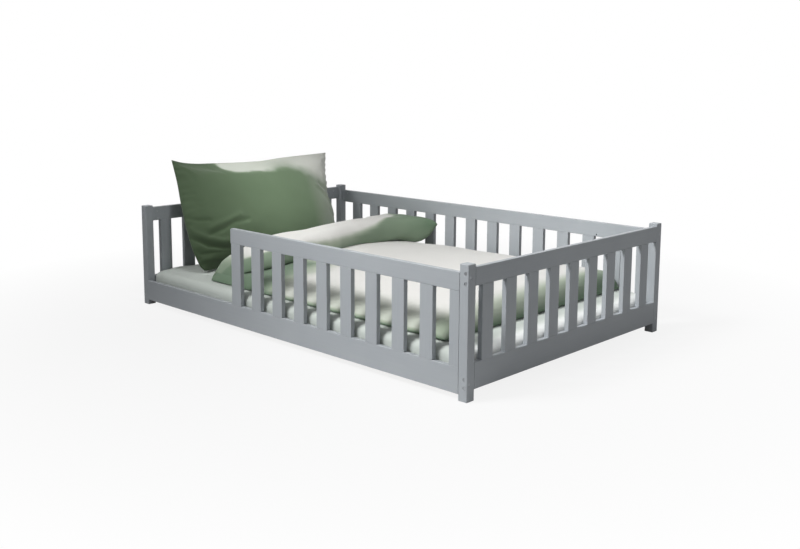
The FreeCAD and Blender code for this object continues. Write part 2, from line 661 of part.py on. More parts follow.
# The centre beam stands on small square feet.
FOOT_STEP = "((beam_long - 2 * foot_inset - foot_side) / (foot_count - 1))"
FOOT_LINES = ["beam_wide / 2 - foot_side / 4", "beam_wide / 2 + foot_side / 4"]
beam = node("PartDesign::Body", "centre_beam")
section = new_sketch(beam, "section", "YZ_Plane")
rectangle(section, "0", "0", "beam_wide", "ledge_high")
pad(beam, section, "beam_long")
pilot_row(beam, "XY_Plane", "ledge_high", BASE_FIRST + " + (beam_long - side_span) / 2",
          ["beam_wide / 2"], PILOT_FROM_TOP, BASE_STEP, "base_slat_count", True)
pilot_row(beam, "XY_Plane", "0", "foot_inset + foot_side / 2", FOOT_LINES,
          "foot_screw_long - side_base + screw_tip_room", FOOT_STEP, "foot_count", False)
place(beam, "-beam_long / 2", "-beam_wide / 2", "side_base")

feet = node("PartDesign::Body", "centre_feet")
square = new_sketch(feet, "square", "XY_Plane")
rectangle(square, "0", "0", "foot_side", "foot_side")
through = new_sketch(feet, "through", "XY_Plane")
sunk = new_sketch(feet, "sunk", "XY_Plane")
for line in ("foot_side / 4", "3 * foot_side / 4"):
    circle(through, "foot_side / 2", line, "screw_hole")
    circle(sunk, "foot_side / 2", line, "screw_head_dia + 2 * screw_play")
parts = [pad(feet, square, "side_base"), pocket(feet, through, "side_base"),
         pocket(feet, sunk, "screw_head_high + foot_sink")]
row_of(feet, parts, "YZ_Plane", FOOT_STEP, "foot_count")
place(feet, "-beam_long / 2 + foot_inset", "-foot_side / 2", "0 * foot_side")

foot_screws = node("PartDesign::Body", "foot_screws")
shanks = new_sketch(foot_screws, "shanks", "XY_Plane")
heads = new_sketch(foot_screws, "heads", "XY_Plane")
for line in ("foot_side / 4", "3 * foot_side / 4"):
    circle(shanks, "foot_side / 2", line, "screw_dia")
    circle(heads, "foot_side / 2", line, "screw_head_dia")
parts = [pad(foot_screws, shanks, "foot_screw_long - foot_sink"),
         pad(foot_screws, heads, "screw_head_high")]
row_of(foot_screws, parts, "YZ_Plane", FOOT_STEP, "foot_count")
place(foot_screws, "-beam_long / 2 + foot_inset", "-foot_side / 2", "foot_sink")


# ---------------------------------------------------------------- mattress and fitted sheet
def cushion(label, long, wide, high, corner, edge, both_edges):
    """A block with rounded corners in plan and a rounded rim."""
    body = node("PartDesign::Body", label)
    plan = new_sketch(body, "plan", "XY_Plane")
    rectangle(plan, "0", "0", long, wide)
    block = pad(body, plan, high)
    corners = round_edges(body, block, corner, lambda e: runs_along(2, e))
    top = corners.Shape.BoundBox.ZMax

    def on_rim(e):
        level = e.BoundBox.ZLength < 0.01
        return level and (e.BoundBox.ZMin > top - 0.01 or both_edges)

    return body, round_edges(body, corners, edge, on_rim)


mattress, _ = cushion("mattress", "mattress_long", "mattress_wide", "mattress_thick",
                      "mattress_corner", "mattress_edge", True)
place(mattress, "-mattress_long / 2", "-mattress_wide / 2", "mattress_low")

fitted, rim = cushion("fitted_sheet", "mattress_long + 2 * sheet_grow",
                      "mattress_wide + 2 * sheet_grow",
                      "mattress_thick - sheet_hem + sheet_grow",
                      "mattress_corner + sheet_grow", "mattress_edge + sheet_grow", False)
shell = fitted.newObject("PartDesign::Thickness", "fitted_sheet_shell")
under = [i for i, f in enumerate(rim.Shape.Faces, 1) if f.BoundBox.ZMax < 0.01]
shell.Base = (rim, ["Face%d" % under[0]])
bind(shell, "Value", "sheet_thick")
shell.Reversed = True
fitted.Tip = shell
place(fitted, "-mattress_long / 2 - sheet_grow", "-mattress_wide / 2 - sheet_grow",
      "mattress_low + sheet_hem")
doc.recompute()


# ---------------------------------------------------------------- pillow
def soft_node(label, shape, base, rotation=FreeCAD.Rotation()):
    """A node whose closed solid is set by the functions below."""
    thing = node("Part::Feature", label)
    thing.Shape = shape
    thing.Placement = FreeCAD.Placement(base, rotation)
    return thing


def arc(start, middle, end):
    """An edge through three points."""
    return Part.Arc(start, middle, end).toShape()


def line(start, end):
    """A straight edge."""
    return Part.LineSegment(start, end).toShape()


def tangent_arc(start, ahead, end):
    """An arc that leaves its start in one direction, and the direction in which it ends."""
    chord = (end - start).normalize()
    share = ahead.dot(chord)
    side = (ahead - chord * share).normalize()
    bulge = (end - start).Length / 2 * math.tan(math.acos(share) / 2)
    return arc(start, (start + end) / 2 + side * bulge, end), chord * (2 * share) - ahead


# The cushion's profile passes its shoulder at these shares of its half height and half thickness.
SHOULDER_UP = 0.62
SHOULDER_OUT = 0.74
PILLOW_STATIONS = [-1, -0.94, -0.75, -0.4, 0, 0.4, 0.75, 0.94, 1]
lean = math.radians(size("pillow_lean"))


def pillow_ends(across):
    """The lower and upper seam points at one station, from -1 at the front to 1 at the back."""
    plump = math.sqrt(max(0.0, 1 - across * across))
    twist = size("pillow_twist") * max(0.0, across) ** 2.5
    y = across * size("pillow_wide") / 2
    low = size("pillow_sit") * plump
    top = size("pillow_high") - size("pillow_draw") * plump - size("pillow_drop") * (1 + across) / 2
    lower = V(-twist * math.cos(lean), y, low + twist * math.sin(lean))
    return lower, V(0, y, top), plump


def quarter(crown, up, reach, out, drop, seam):
    """From the crown over a shoulder to a seam: two arcs that join smoothly."""
    shoulder = crown + up * (reach * SHOULDER_UP) - out * drop
    first, ahead = tangent_arc(crown, up, shoulder)
    return [first, tangent_arc(shoulder, ahead, seam)[0]]


def pillow_section(across):
    """A lens across the pillow, fuller behind its seams than in front of them."""
    lower, upper, plump = pillow_ends(across)
    up = (upper - lower).normalize()
    out = V(up.z, 0, -up.x)
    middle, reach = (lower + upper) / 2, (upper - lower).Length / 2
    seam = size("pillow_seam") / 2
    edges = []
    for side, bulge, ends in ((1, "pillow_front", (lower, upper)), (-1, "pillow_back", (upper, lower))):
        half = seam + (size(bulge) - seam) * plump
        crown = middle + out * (side * half)
        first, last = [quarter(crown, up * way, reach, out * side, half * (1 - SHOULDER_OUT), end)
                       for way, end in zip((-side, side), ends)]
        edges += first[::-1] + last
    return Part.Wire(edges)


lower, upper, _ = pillow_ends(0)
middle, reach = (lower.z + upper.z) / 2, (upper.z - lower.z) / 2
# The pillow's back leans on the inner top edge of the head rail, apart from a small gap. There it
# is an arc of this radius, whose centre lies this much in front of the seams.
drop = size("pillow_back") * (1 - SHOULDER_OUT)
radius = ((reach * SHOULDER_UP) ** 2 + drop ** 2) / (2 * drop)
offset = radius - size("pillow_back")
rail_x = -size("half_x") + size("panel_thick")
rail_z = size("end_rail_low") + size("rail_height") - size("bedding_low")
centre_z = middle * math.cos(lean) + offset * math.sin(lean)
touch = math.sqrt((radius + size("pillow_gap")) ** 2 - (rail_z - centre_z) ** 2)
pillow_x = rail_x + touch - offset * math.cos(lean) + middle * math.sin(lean)
crown_x = pillow_x - middle * math.sin(lean) + size("pillow_front") * math.cos(lean)
soft_node("pillow",
          Part.makeLoft([pillow_section(a) for a in PILLOW_STATIONS], True, False),
          V(pillow_x, -size("pillow_aside"), size("bedding_low")),
          FreeCAD.Rotation(V(0, 1, 0), -size("pillow_lean")))

# ---------------------------------------------------------------- duvet
# Stations from the front edge (-1) to the back edge (1): share of the duvet's thickness, share of
# the fold's rise, share of the sweep of its free edge, and share of the lift of its back corner.
DUVET_STATIONS = [
    (-1.0, 0.22, 0.13, 0.0, 0.0),
    (-0.94, 0.46, 0.31, 0.15, 0.0),
    (-0.76, 0.66, 0.50, 0.34, 0.0),
    (-0.42, 0.92, 0.76, 0.40, 0.0),
    (0.05, 1.0, 0.78, 0.15, 0.0),
    (0.5, 1.0, 0.89, 0.0, 0.0),
    (0.84, 0.95, 0.97, 0.25, 0.1),
    (0.95, 0.75, 1.04, 0.5, 0.45),
    (1.0, 0.55, 1.0, 0.95, 1.0),
]


def duvet_section(across, plump, rise, sweep, lift):
    """The duvet along the bed at one station: one layer, and the layer folded back over it."""
    front = -size("mattress_wide") / 2 + size("duvet_front")
    back = size("mattress_wide") / 2 - size("duvet_back")
    y = front + (across + 1) / 2 * (back - front)
    low = size("bedding_low")
    thick = size("duvet_thick") * plump
    top = low + thick
    pressed = top - size("duvet_pressed") * plump
    head = crown_x + size("duvet_head_gap")
    foot = size("mattress_long") / 2 - size("duvet_foot")
    edge = head + size("fold_wide") + size("fold_sweep") * sweep
    crest = pressed + size("fold_slit") + size("fold_rise") * rise
    under_head = V(head + 0.5 * thick, y, low)
    under_foot = V(foot - 0.5 * thick, y, low)
    over_foot = V(foot - 0.7 * thick, y, top)
    notch = V(head + 0.35 * (edge - head), y, pressed)
    lip = V(edge, y, pressed + size("fold_slit") + size("fold_tip_lift") * lift)
    shoulder = V(edge - size("fold_nose"), y, crest - 0.15 * (crest - lip.z))
    peak = V(head + 0.5 * (edge - head), y, crest)
    side = V(head, y, low + 0.55 * (crest - low))
    over, ahead = tangent_arc(peak, V(1, 0, 0), shoulder)
    return Part.Wire([
        line(under_head, under_foot),
        arc(under_foot, V(foot, y, low + 0.45 * thick), over_foot),
        line(over_foot, notch),
        line(notch, lip),
        tangent_arc(shoulder, ahead, lip)[0],
        over,
        tangent_arc(peak, V(-1, 0, 0), side)[0],
        tangent_arc(side, V(0, 0, -1), under_head)[0],
    ])


soft_node("duvet", Part.makeLoft([duvet_section(*s) for s in DUVET_STATIONS], True, False), V())

# ---------------------------------------------------------------- test and write the nodes
doc.recompute()
failed = [o.Name for o in doc.Objects if "Invalid" in o.State or "Error" in o.State]
if failed:
    raise RuntimeError("failed: " + ", ".join(failed))
for thing in NODES:
    if thing.Shape.isNull() or not thing.Shape.isValid() or not thing.Shape.Solids:
        raise RuntimeError("bad shape: " + thing.Label)
    thing.Shape.exportStep("parts/%s.step" % thing.Label)
    box = thing.Shape.BoundBox
    print("%-20s %3d solids, %10.1f cm3, x %.1f..%.1f y %.1f..%.1f z %.1f..%.1f" % (
        thing.Label, len(thing.Shape.Solids), thing.Shape.Volume / 1000,
        box.XMin, box.XMax, box.YMin, box.YMax, box.ZMin, box.ZMax))
print(len(NODES), "nodes")
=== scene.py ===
# %% [markdown]
# # A toddler's floor bed, dressed
# A low painted frame on four posts carries a mattress, a duvet that is folded back and one big
# pillow. The hard parts come ready made and keep their shape: here they only get their finish.
# The soft parts are made new, because cloth shows folds and seams that no plain solid has.

# %% Load the fixed frame
import json
import math

import bpy
import numpy as np
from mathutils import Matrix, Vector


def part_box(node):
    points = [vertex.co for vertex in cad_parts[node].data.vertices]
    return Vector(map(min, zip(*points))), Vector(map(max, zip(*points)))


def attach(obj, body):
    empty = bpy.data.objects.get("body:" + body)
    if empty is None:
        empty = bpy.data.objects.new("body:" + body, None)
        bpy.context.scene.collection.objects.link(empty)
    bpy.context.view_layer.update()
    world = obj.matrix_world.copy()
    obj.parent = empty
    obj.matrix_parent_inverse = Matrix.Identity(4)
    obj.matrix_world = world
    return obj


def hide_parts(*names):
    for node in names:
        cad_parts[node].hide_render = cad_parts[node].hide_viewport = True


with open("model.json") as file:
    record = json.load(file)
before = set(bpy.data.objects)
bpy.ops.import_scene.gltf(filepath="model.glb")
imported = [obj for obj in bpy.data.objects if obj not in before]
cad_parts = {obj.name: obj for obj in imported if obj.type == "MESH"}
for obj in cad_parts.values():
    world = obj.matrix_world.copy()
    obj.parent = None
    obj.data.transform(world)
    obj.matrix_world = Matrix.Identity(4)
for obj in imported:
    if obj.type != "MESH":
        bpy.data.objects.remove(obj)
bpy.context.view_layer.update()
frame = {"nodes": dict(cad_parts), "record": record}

# %% [markdown]
# ## Camera
# A catalogue picture of furniture is often taken with a shift lens: the camera looks only a little
# down and the frame of the picture is slid, so that posts stay nearly upright. The camera is
# placed by its position, its heading and its pitch.

# %% Camera
PICTURE_WIDE = 800
LENS_PIXELS = 948.06
SENSOR_MM = 36
CAMERA_PLACE = (2.8669, -2.9288, 1.0603)
HEADING, PITCH, ROLL = 133.643, -8.137, 0.319
FRAME_SHIFT = -0.08


def look_axes(heading, pitch, roll):
    """Right, up and back of a camera.

    The view direction is the heading turned down by the pitch. Right is level and square to it,
    up is square to both, and the roll turns right and up about the view direction."""
    heading, pitch, roll = map(math.radians, (heading, pitch, roll))
    ahead = np.array([math.cos(heading) * math.cos(pitch),
                      math.sin(heading) * math.cos(pitch), math.sin(pitch)])
    level = np.array([math.sin(heading), -math.cos(heading), 0])
    up = np.cross(level, ahead)
    right = math.cos(roll) * level + math.sin(roll) * up
    return right, np.cross(right, ahead), -ahead


camera = bpy.data.objects.new("camera", bpy.data.cameras.new("camera"))
bpy.context.scene.collection.objects.link(camera)
bpy.context.scene.camera = camera
camera.data.sensor_width = SENSOR_MM
camera.data.lens = LENS_PIXELS / PICTURE_WIDE * SENSOR_MM
camera.data.shift_y = FRAME_SHIFT
placement = np.eye(4)
placement[:3, :3] = np.array(look_axes(HEADING, PITCH, ROLL)).T
placement[:3, 3] = CAMERA_PLACE
camera.matrix_world = placement.T.tolist()
print("lens", round(camera.data.lens, 2), "mm, heading", HEADING, "and pitch", PITCH, "degrees")

# %% [markdown]
# ## Colours and shader nodes
# Paint charts and photographs give colours as sRGB, and shaders want linear light. One function
# turns a hex value into linear. Another adds a shader node with its settings and its links, so
# that each material below reads as a short list.

# %% Colour and node helpers
def linear(code):
    """sRGB hex to linear: below 0.04045 divide by 12.92, above it ((c + 0.055) / 1.055) ** 2.4."""
    part = np.array([int(code[i:i + 2], 16) for i in (1, 3, 5)]) / 255
    light = np.where(part <= 0.04045, part / 12.92, ((part + 0.055) / 1.055) ** 2.4)
    return (*light.tolist(), 1.0)


def add_node(tree, kind, inputs=None, **settings):
    """Adds one node. settings are its properties; inputs are values, or sockets to link."""
    made = tree.nodes.new(kind)
    for name, value in settings.items():
        setattr(made, name, value)
    for name, value in (inputs or {}).items():
        if isinstance(value, bpy.types.NodeSocket):
            tree.links.new(value, made.inputs[name])
        else:
            made.inputs[name].default_value = value
    return made


def new_material(name):
    """An empty node material and its tree."""
    material = bpy.data.materials.new(name)
    material.use_nodes = True
    material.node_tree.nodes.clear()
    return material, material.node_tree


def ramp(tree, value, *stops):
    """A colour ramp from stops of (place, colour)."""
    made = add_node(tree, "ShaderNodeValToRGB", {"Fac": value})
    points = made.color_ramp.elements
    while len(points) < len(stops):
        points.new(0.5)
    for point, (place, colour) in zip(points, stops):
        point.position = place
        point.color = colour
    return made.outputs["Color"]


def output(tree, shader):
    """Joins a shader to the material's surface."""
    add_node(tree, "ShaderNodeOutputMaterial", {"Surface": shader})


# %% [markdown]
# ## Painted pine
# The frame is solid pine under a satin water-based paint in mid grey. Paint from a roller dries
# with a fine orange peel of about 1.5 mm, the early wood sinks a little and shows as long shallow
# lines along each bar, and handled edges turn slightly paler. The lines run the way the timber was
# cut, so the paint has one version for each axis.

# %% Painted pine
PAINT = "#A6ABAF"
PAINT_DEEP = "#A1A6AB"
PAINT_EDGE = "#B9BDC0"
GRAIN_MM = 5
GRAIN_STRETCH = 40
PEEL_MM = 1.6
WORN_EDGE = 0.0022
SUNK_GRAIN, PEEL_HEIGHT = 0.0004, 0.0003
SATIN = (0.40, 0.48)


def along_grain(tree, axis, grain_mm, stretch):
    """Object coordinates in grain widths, drawn out along one axis."""
    place = add_node(tree, "ShaderNodeTexCoord").outputs["Object"]
    scale = [1000 / grain_mm] * 3
    scale[axis] /= stretch
    return add_node(tree, "ShaderNodeMapping", {"Vector": place, "Scale": scale}).outputs["Vector"]


def painted_pine(axis):
    """Satin paint on pine whose grain runs along one axis."""
    material, tree = new_material("satin_paint_on_pine_" + "xyz"[axis])
    grain = add_node(tree, "ShaderNodeTexNoise", {
        "Vector": along_grain(tree, axis, GRAIN_MM, GRAIN_STRETCH), "Scale": 1.0, "Detail": 3.0,
        "Roughness": 0.55}).outputs["Fac"]
    place = add_node(tree, "ShaderNodeTexCoord").outputs["Object"]
    peel = add_node(tree, "ShaderNodeTexNoise", {
        "Vector": place, "Scale": 1000 / PEEL_MM, "Detail": 1.0}).outputs["Fac"]
    cloud = add_node(tree, "ShaderNodeTexNoise", {
        "Vector": place, "Scale": 6.0, "Detail": 2.0}).outputs["Fac"]
    tone = add_node(tree, "ShaderNodeMath", {0: grain, 1: cloud}, operation="ADD").outputs[0]
    body = ramp(tree, add_node(tree, "ShaderNodeMath", {0: tone, 1: 0.5},
                               operation="MULTIPLY").outputs[0],
                (0.35, linear(PAINT_DEEP)), (0.62, linear(PAINT)))
    soft = add_node(tree, "ShaderNodeBevel", {"Radius": WORN_EDGE}, samples=4).outputs["Normal"]
    face = add_node(tree, "ShaderNodeNewGeometry").outputs["True Normal"]
    alike = add_node(tree, "ShaderNodeVectorMath", {0: soft, 1: face},
                     operation="DOT_PRODUCT").outputs["Value"]
    edge = add_node(tree, "ShaderNodeMapRange", {
        "Value": alike, "From Min": 0.995, "From Max": 0.8, "To Min": 0.0,
        "To Max": 0.55}).outputs["Result"]
    colour = add_node(tree, "ShaderNodeMix", {
        "Factor": edge, "A": body, "B": linear(PAINT_EDGE)}, data_type="RGBA")
    sunk = add_node(tree, "ShaderNodeBump", {
        "Height": grain, "Strength": 0.10, "Distance": SUNK_GRAIN, "Normal": soft})
    skin = add_node(tree, "ShaderNodeBump", {
        "Height": peel, "Strength": 0.08, "Distance": PEEL_HEIGHT,
        "Normal": sunk.outputs["Normal"]})
    gloss = add_node(tree, "ShaderNodeMapRange", {
        "Value": grain, "To Min": SATIN[0], "To Max": SATIN[1]}).outputs["Result"]
    output(tree, add_node(tree, "ShaderNodeBsdfPrincipled", {
        "Base Color": colour.outputs["Result"], "Roughness": gloss, "IOR": 1.48,
        "Normal": skin.outputs["Normal"]}).outputs["BSDF"])
    return material


paints = [painted_pine(axis) for axis in range(3)]
print("paints:", [material.name for material in paints])


# %% Finish for the painted bars
def finish_nodes(names, material):
    """Gives CAD nodes a finish."""
    for name in names:
        for place in frame["nodes"][name].material_slots:
            place.material = material


slot_of = {part["node"]: part["material_slot"] for part in frame["record"]["subparts"]}
painted = [name for name, kind in slot_of.items() if kind == "painted_pine"]
SIDE_BARS = ("front_bottom", "front_guard", "back_bottom", "back_top")
END_BARS = ("head_bottom", "head_top", "foot_bottom", "foot_top")
bars_x = [name for name in painted if name.startswith(SIDE_BARS)]
bars_y = [name for name in painted if name.startswith(END_BARS)]
upright = [name for name in painted if name not in bars_x + bars_y]
for names, material in zip((bars_x, bars_y, upright), paints):
    finish_nodes(names, material)
print("painted bars along X, Y and Z:", len(bars_x), len(bars_y), len(upright))

# %% [markdown]
# ## Bare pine and zinc
# Under the mattress nobody paints: slats, ledges and dowels are planed pine, pale yellow with
# darker late-wood lines about 6 mm apart. The bolts and screws are zinc plated steel, a metal with
# a slightly cloudy, bluish shine.

# %% Bare pine and zinc-plated steel
RING_MM = 6
RING_STRETCH = 25
RINGS = 46
PALE_WOOD, WOOD, LATE_WOOD = "#E4C99B", "#DDBB86", "#C0935A"
ZINC_DARK, ZINC_PALE = "#A9ADB3", "#C6C9CC"


def bare_pine(axis):
    """Planed pine: late-wood lines along one axis, wavering and uneven."""
    material, tree = new_material("planed_pine_" + "xyz"[axis])
    place = along_grain(tree, axis, RING_MM, RING_STRETCH)
    waver = add_node(tree, "ShaderNodeTexNoise", {
        "Vector": place, "Scale": 0.35, "Detail": 3.0, "Distortion": 0.6}).outputs["Fac"]
    lines = add_node(tree, "ShaderNodeMath", {0: waver, 1: RINGS}, operation="MULTIPLY").outputs[0]
    ring = add_node(tree, "ShaderNodeMath", {0: lines}, operation="SINE").outputs[0]
    share = add_node(tree, "ShaderNodeMapRange", {
        "Value": ring, "From Min": -1.0, "From Max": 1.0}).outputs["Result"]
    colour = ramp(tree, share, (0.0, linear(PALE_WOOD)), (0.6, linear(WOOD)),
                  (1.0, linear(LATE_WOOD)))
    relief = add_node(tree, "ShaderNodeBump", {
        "Height": share, "Strength": 0.12, "Distance": 0.0003}).outputs["Normal"]
    output(tree, add_node(tree, "ShaderNodeBsdfPrincipled", {
        "Base Color": colour, "Roughness": 0.62, "IOR": 1.5, "Normal": relief}).outputs["BSDF"])
    return material


def zinc_plate():
    """Zinc-plated steel: cloudy roughness on a pale bluish metal."""
    material, tree = new_material("zinc_plated_steel")
    place = add_node(tree, "ShaderNodeTexCoord").outputs["Object"]
    cloud = add_node(tree, "ShaderNodeTexNoise", {
        "Vector": place, "Scale": 700.0, "Detail": 3.0}).outputs["Fac"]
    gloss = add_node(tree, "ShaderNodeMapRange", {
        "Value": cloud, "To Min": 0.28, "To Max": 0.48}).outputs["Result"]
    colour = ramp(tree, cloud, (0.3, linear(ZINC_DARK)), (0.7, linear(ZINC_PALE)))
    output(tree, add_node(tree, "ShaderNodeBsdfPrincipled", {
        "Base Color": colour, "Metallic": 1.0, "Roughness": gloss}).outputs["BSDF"])
    return material


finish_nodes(["front_ledge", "back_ledge", "centre_beam", "frame_dowels"], bare_pine(0))
finish_nodes(["base_slats"], bare_pine(1))
finish_nodes(["centre_feet"], bare_pine(2))
fittings = [name for name, kind in slot_of.items() if kind == "zinc_steel"]
finish_nodes(fittings, zinc_plate())
print("zinc-plated fittings:", len(fittings))

# %% [markdown]
# ## Cotton
# Bed linen is plain-weave cotton: warp and weft cross over and under, a thread every 0.3 mm. That
# is far too fine to show, so the threads are drawn 1.5 mm apart, and thicker slubs run through
# them here and there. Cotton scatters light in its fibres, which gives soft sheen at the edges.
# The weave follows the cloth, so it reads the piece's own UV map, in metres of cloth. An attribute
# named tone holds how far each point is faded, together with painted light and shade, and a colour
# ramp turns it into a colour.
# The ramp has a middle stop, because a straight mix of deep green and white looks grey half way.

# %% Cotton
THREAD_MM = 1.5
# Blender's wave texture repeats after this length, and one wave is two threads: over and under.
WAVE_LENGTH = 2 * math.pi / 20
WEAVE_SCALE = 1000 / (2 * THREAD_MM) * WAVE_LENGTH
SLUBS = (30.0, 420.0, 1.0)
THREAD_HEIGHT = 0.0004
MID_STOP = 0.45


def cotton(name, dark_end, mid_colour, pale_end, shade=0.035):
    """Plain-weave cotton in three tones: dye and painted light, dark_end at 0 to pale_end at 1."""
    material, tree = new_material(name)
    cloth = add_node(tree, "ShaderNodeUVMap", uv_map="cloth").outputs["UV"]
    height = None
    for direction in ("X", "Y"):
        threads = add_node(tree, "ShaderNodeTexWave", {
            "Vector": cloth, "Scale": WEAVE_SCALE, "Distortion": 0.6, "Detail": 1.0},
            bands_direction=direction).outputs["Fac"]
        height = threads if height is None else add_node(
            tree, "ShaderNodeMath", {0: height, 1: threads}, operation="ADD").outputs[0]
    slubs = add_node(tree, "ShaderNodeTexNoise", {
        "Vector": add_node(tree, "ShaderNodeMapping", {
            "Vector": cloth, "Scale": SLUBS}).outputs["Vector"],
        "Scale": 1.0, "Detail": 2.0}).outputs["Fac"]
    cloud = add_node(tree, "ShaderNodeTexNoise", {
        "Vector": cloth, "Scale": 9.0, "Detail": 4.0, "Roughness": 0.6}).outputs["Fac"]
    tone = add_node(tree, "ShaderNodeAttribute", attribute_name="tone").outputs["Fac"]
    body = ramp(tree, tone, (0.0, linear(dark_end)), (MID_STOP, linear(mid_colour)),
                (1.0, linear(pale_end)))
    uneven = add_node(tree, "ShaderNodeMath", {0: slubs, 1: cloud}, operation="ADD").outputs[0]
    light = add_node(tree, "ShaderNodeMapRange", {
        "Value": uneven, "From Min": 0.6, "From Max": 1.4, "To Min": 1 - shade,
        "To Max": 1 + shade}).outputs["Result"]
    colour = add_node(tree, "ShaderNodeVectorMath", {
        0: body, "Scale": light}, operation="SCALE").outputs["Vector"]
    weave = add_node(tree, "ShaderNodeBump", {
        "Height": height, "Strength": 0.25, "Distance": THREAD_HEIGHT}).outputs["Normal"]
    thick = add_node(tree, "ShaderNodeBump", {
        "Height": slubs, "Strength": 0.2, "Distance": THREAD_HEIGHT,
        "Normal": weave}).outputs["Normal"]
    output(tree, add_node(tree, "ShaderNodeBsdfPrincipled", {
        "Base Color": colour, "Roughness": 0.82, "Sheen Weight": 0.25, "Sheen Roughness": 0.5,
        "Normal": thick}).outputs["BSDF"])
    return material


print("threads drawn", THREAD_MM, "mm apart, texture scale", round(WEAVE_SCALE, 2))

# %% [markdown]
# ## Cloth shapes
# A pillow and a duvet are each two sheets of cloth sewn together round the edge. So a soft piece
# here is a middle surface with a thickness: one sheet lies half the thickness above it and one
# below, and both share their border, which is the seam. Small creases come from noise: random
# heights on a lattice, blended smoothly between its points.

# %% Curves and noise
def smooth_step(low, high, value):
    """0 below low, 1 above high, and 3t^2 - 2t^3 between them."""
    share = np.clip((value - low) / (high - low), 0, 1)
    return share * share * (3 - 2 * share)


def through(value, places, heights):
    """A smooth curve through points: between two of them, a cubic with averaged slopes."""
    places, heights = np.array(places, float), np.array(heights, float)
    slopes = np.gradient(heights, places)
    i = np.clip(np.searchsorted(places, value) - 1, 0, len(places) - 2)
    span = places[i + 1] - places[i]
    t = np.clip((value - places[i]) / span, 0, 1)
    rise = (2 * t**3 - 3 * t**2 + 1) * heights[i] + (3 * t**2 - 2 * t**3) * heights[i + 1]
    return rise + span * ((t**3 - 2 * t**2 + t) * slopes[i] + (t**3 - t**2) * slopes[i + 1])


def noise(points, spacing, seed):
    """Noise from -1 to 1 at (n, 3) points: lattice heights blended by smooth steps."""
    table = np.random.default_rng(seed).uniform(-1, 1, (32, 32, 32))
    scaled = points / spacing
    cell = np.floor(scaled).astype(int)
    share = scaled - cell
    share = share * share * (3 - 2 * share)
    total = 0
    for corner in np.ndindex(2, 2, 2):
        weight = np.prod(np.where(corner, share, 1 - share), axis=-1)
        at = (cell + corner) % 32
        total = total + weight * table[at[..., 0], at[..., 1], at[..., 2]]
    return total


def edge_round(distance, width):
    """Share of the full thickness at a distance from a seam: a quarter circle over the width."""
    return np.sqrt(np.clip(1 - (1 - np.clip(distance / width, 0, 1)) ** 2, 0, 1))


print("half way in, an edge is", round(float(edge_round(0.5, 1)), 2), "thick")

# %% [markdown]
# A grid of points becomes a mesh when each point is joined to its neighbours. Two sheets use the
# same border points, so the seam is closed. The flat place of the cloth and its tone, the dye's
# fade with painted light and shade, are stored on the mesh, where the material reads them.

# %% Sewn meshes
def facing_out(points, faces):
    """The faces, turned over if they enclose a negative volume.

    Six times the volume is the sum over both triangles of each face of a . (b x c)."""
    a, b, c, d = (points.reshape(-1, 3)[faces[:, k]] for k in range(4))
    volume = (a * np.cross(b, c)).sum() + (a * np.cross(c, d)).sum()
    return faces if volume > 0 else faces[:, ::-1]


def link(name, points, faces):
    """A mesh object from points and faces, smooth shaded."""
    mesh = bpy.data.meshes.new(name)
    mesh.from_pydata(points.reshape(-1, 3).tolist(), [], faces.tolist())
    mesh.shade_smooth()
    piece = bpy.data.objects.new(name, mesh)
    bpy.context.scene.collection.objects.link(piece)
    return piece


def quads(index):
    """Faces of a grid of point numbers, each from four neighbours."""
    corners = index[:-1, :-1], index[1:, :-1], index[1:, 1:], index[:-1, 1:]
    return np.stack(corners, -1).reshape(-1, 4)


def sewn_pair(name, upper, lower, cloth):
    """Two sheets sewn round the edge. The lower sheet uses the upper one's border points.

    upper and lower are (rows, columns, 3) grids; cloth is the (rows, columns, 2) flat place of
    each point, which becomes the UV map."""
    rows, columns = upper.shape[:2]
    top = np.arange(rows * columns).reshape(rows, columns)
    below = top.copy()
    inner = (rows - 2) * (columns - 2)
    below[1:-1, 1:-1] = rows * columns + np.arange(inner).reshape(rows - 2, columns - 2)
    points = both(upper, lower)
    faces = facing_out(points, np.concatenate([quads(top), quads(below)[:, ::-1]]))
    piece = link(name, points, faces)
    set_cloth(piece, both(cloth, cloth), faces)
    return piece


def set_cloth(piece, flat, faces):
    """Writes the flat place of each face corner into the UV map named cloth."""
    layer = piece.data.uv_layers.new(name="cloth")
    layer.data.foreach_set("uv", flat[faces.reshape(-1)].astype(np.float32).reshape(-1))


def both(upper, lower):
    """Values for the points of a sewn pair: all of the upper grid, then the lower one's inside."""
    one = (-1, *upper.shape[2:])
    return np.concatenate([upper.reshape(one), lower[1:-1, 1:-1].reshape(one)])


def set_tone(piece, tone):
    """Writes the tone, 0 to 1, at each point: the dye's fade with painted light and shade."""
    layer = piece.data.attributes.new("tone", "FLOAT", "POINT")
    layer.data.foreach_set("value", np.clip(tone, 0, 1).astype(np.float32))


def points_of(piece):
    """A mesh's points as an (n, 3) array."""
    flat = np.empty(len(piece.data.vertices) * 3, np.float32)
    piece.data.vertices.foreach_get("co", flat)
    return flat.reshape(-1, 3).astype(float)


def move_to(piece, points):
    """Puts a mesh's points at new places."""
    piece.data.vertices.foreach_set("co", points.astype(np.float32).reshape(-1))
    piece.data.update()


# %% [markdown]
# Filled cloth pulls itself into folds that no formula gives. Blender's cloth simulation finds
# them: it starts from the smooth shape, takes the flat cut as the cloth's shape at rest, and fills
# the piece with air. The cloth is a light sheet that hardly stretches and bends easily.

# %% Settling cloth
COTTON_CLOTH = {"quality": 6, "mass": 0.2, "tension_stiffness": 25, "compression_stiffness": 25,
                "shear_stiffness": 8, "bending_stiffness": 0.3, "use_pressure": True}
SIMULATED_FRAMES = 20


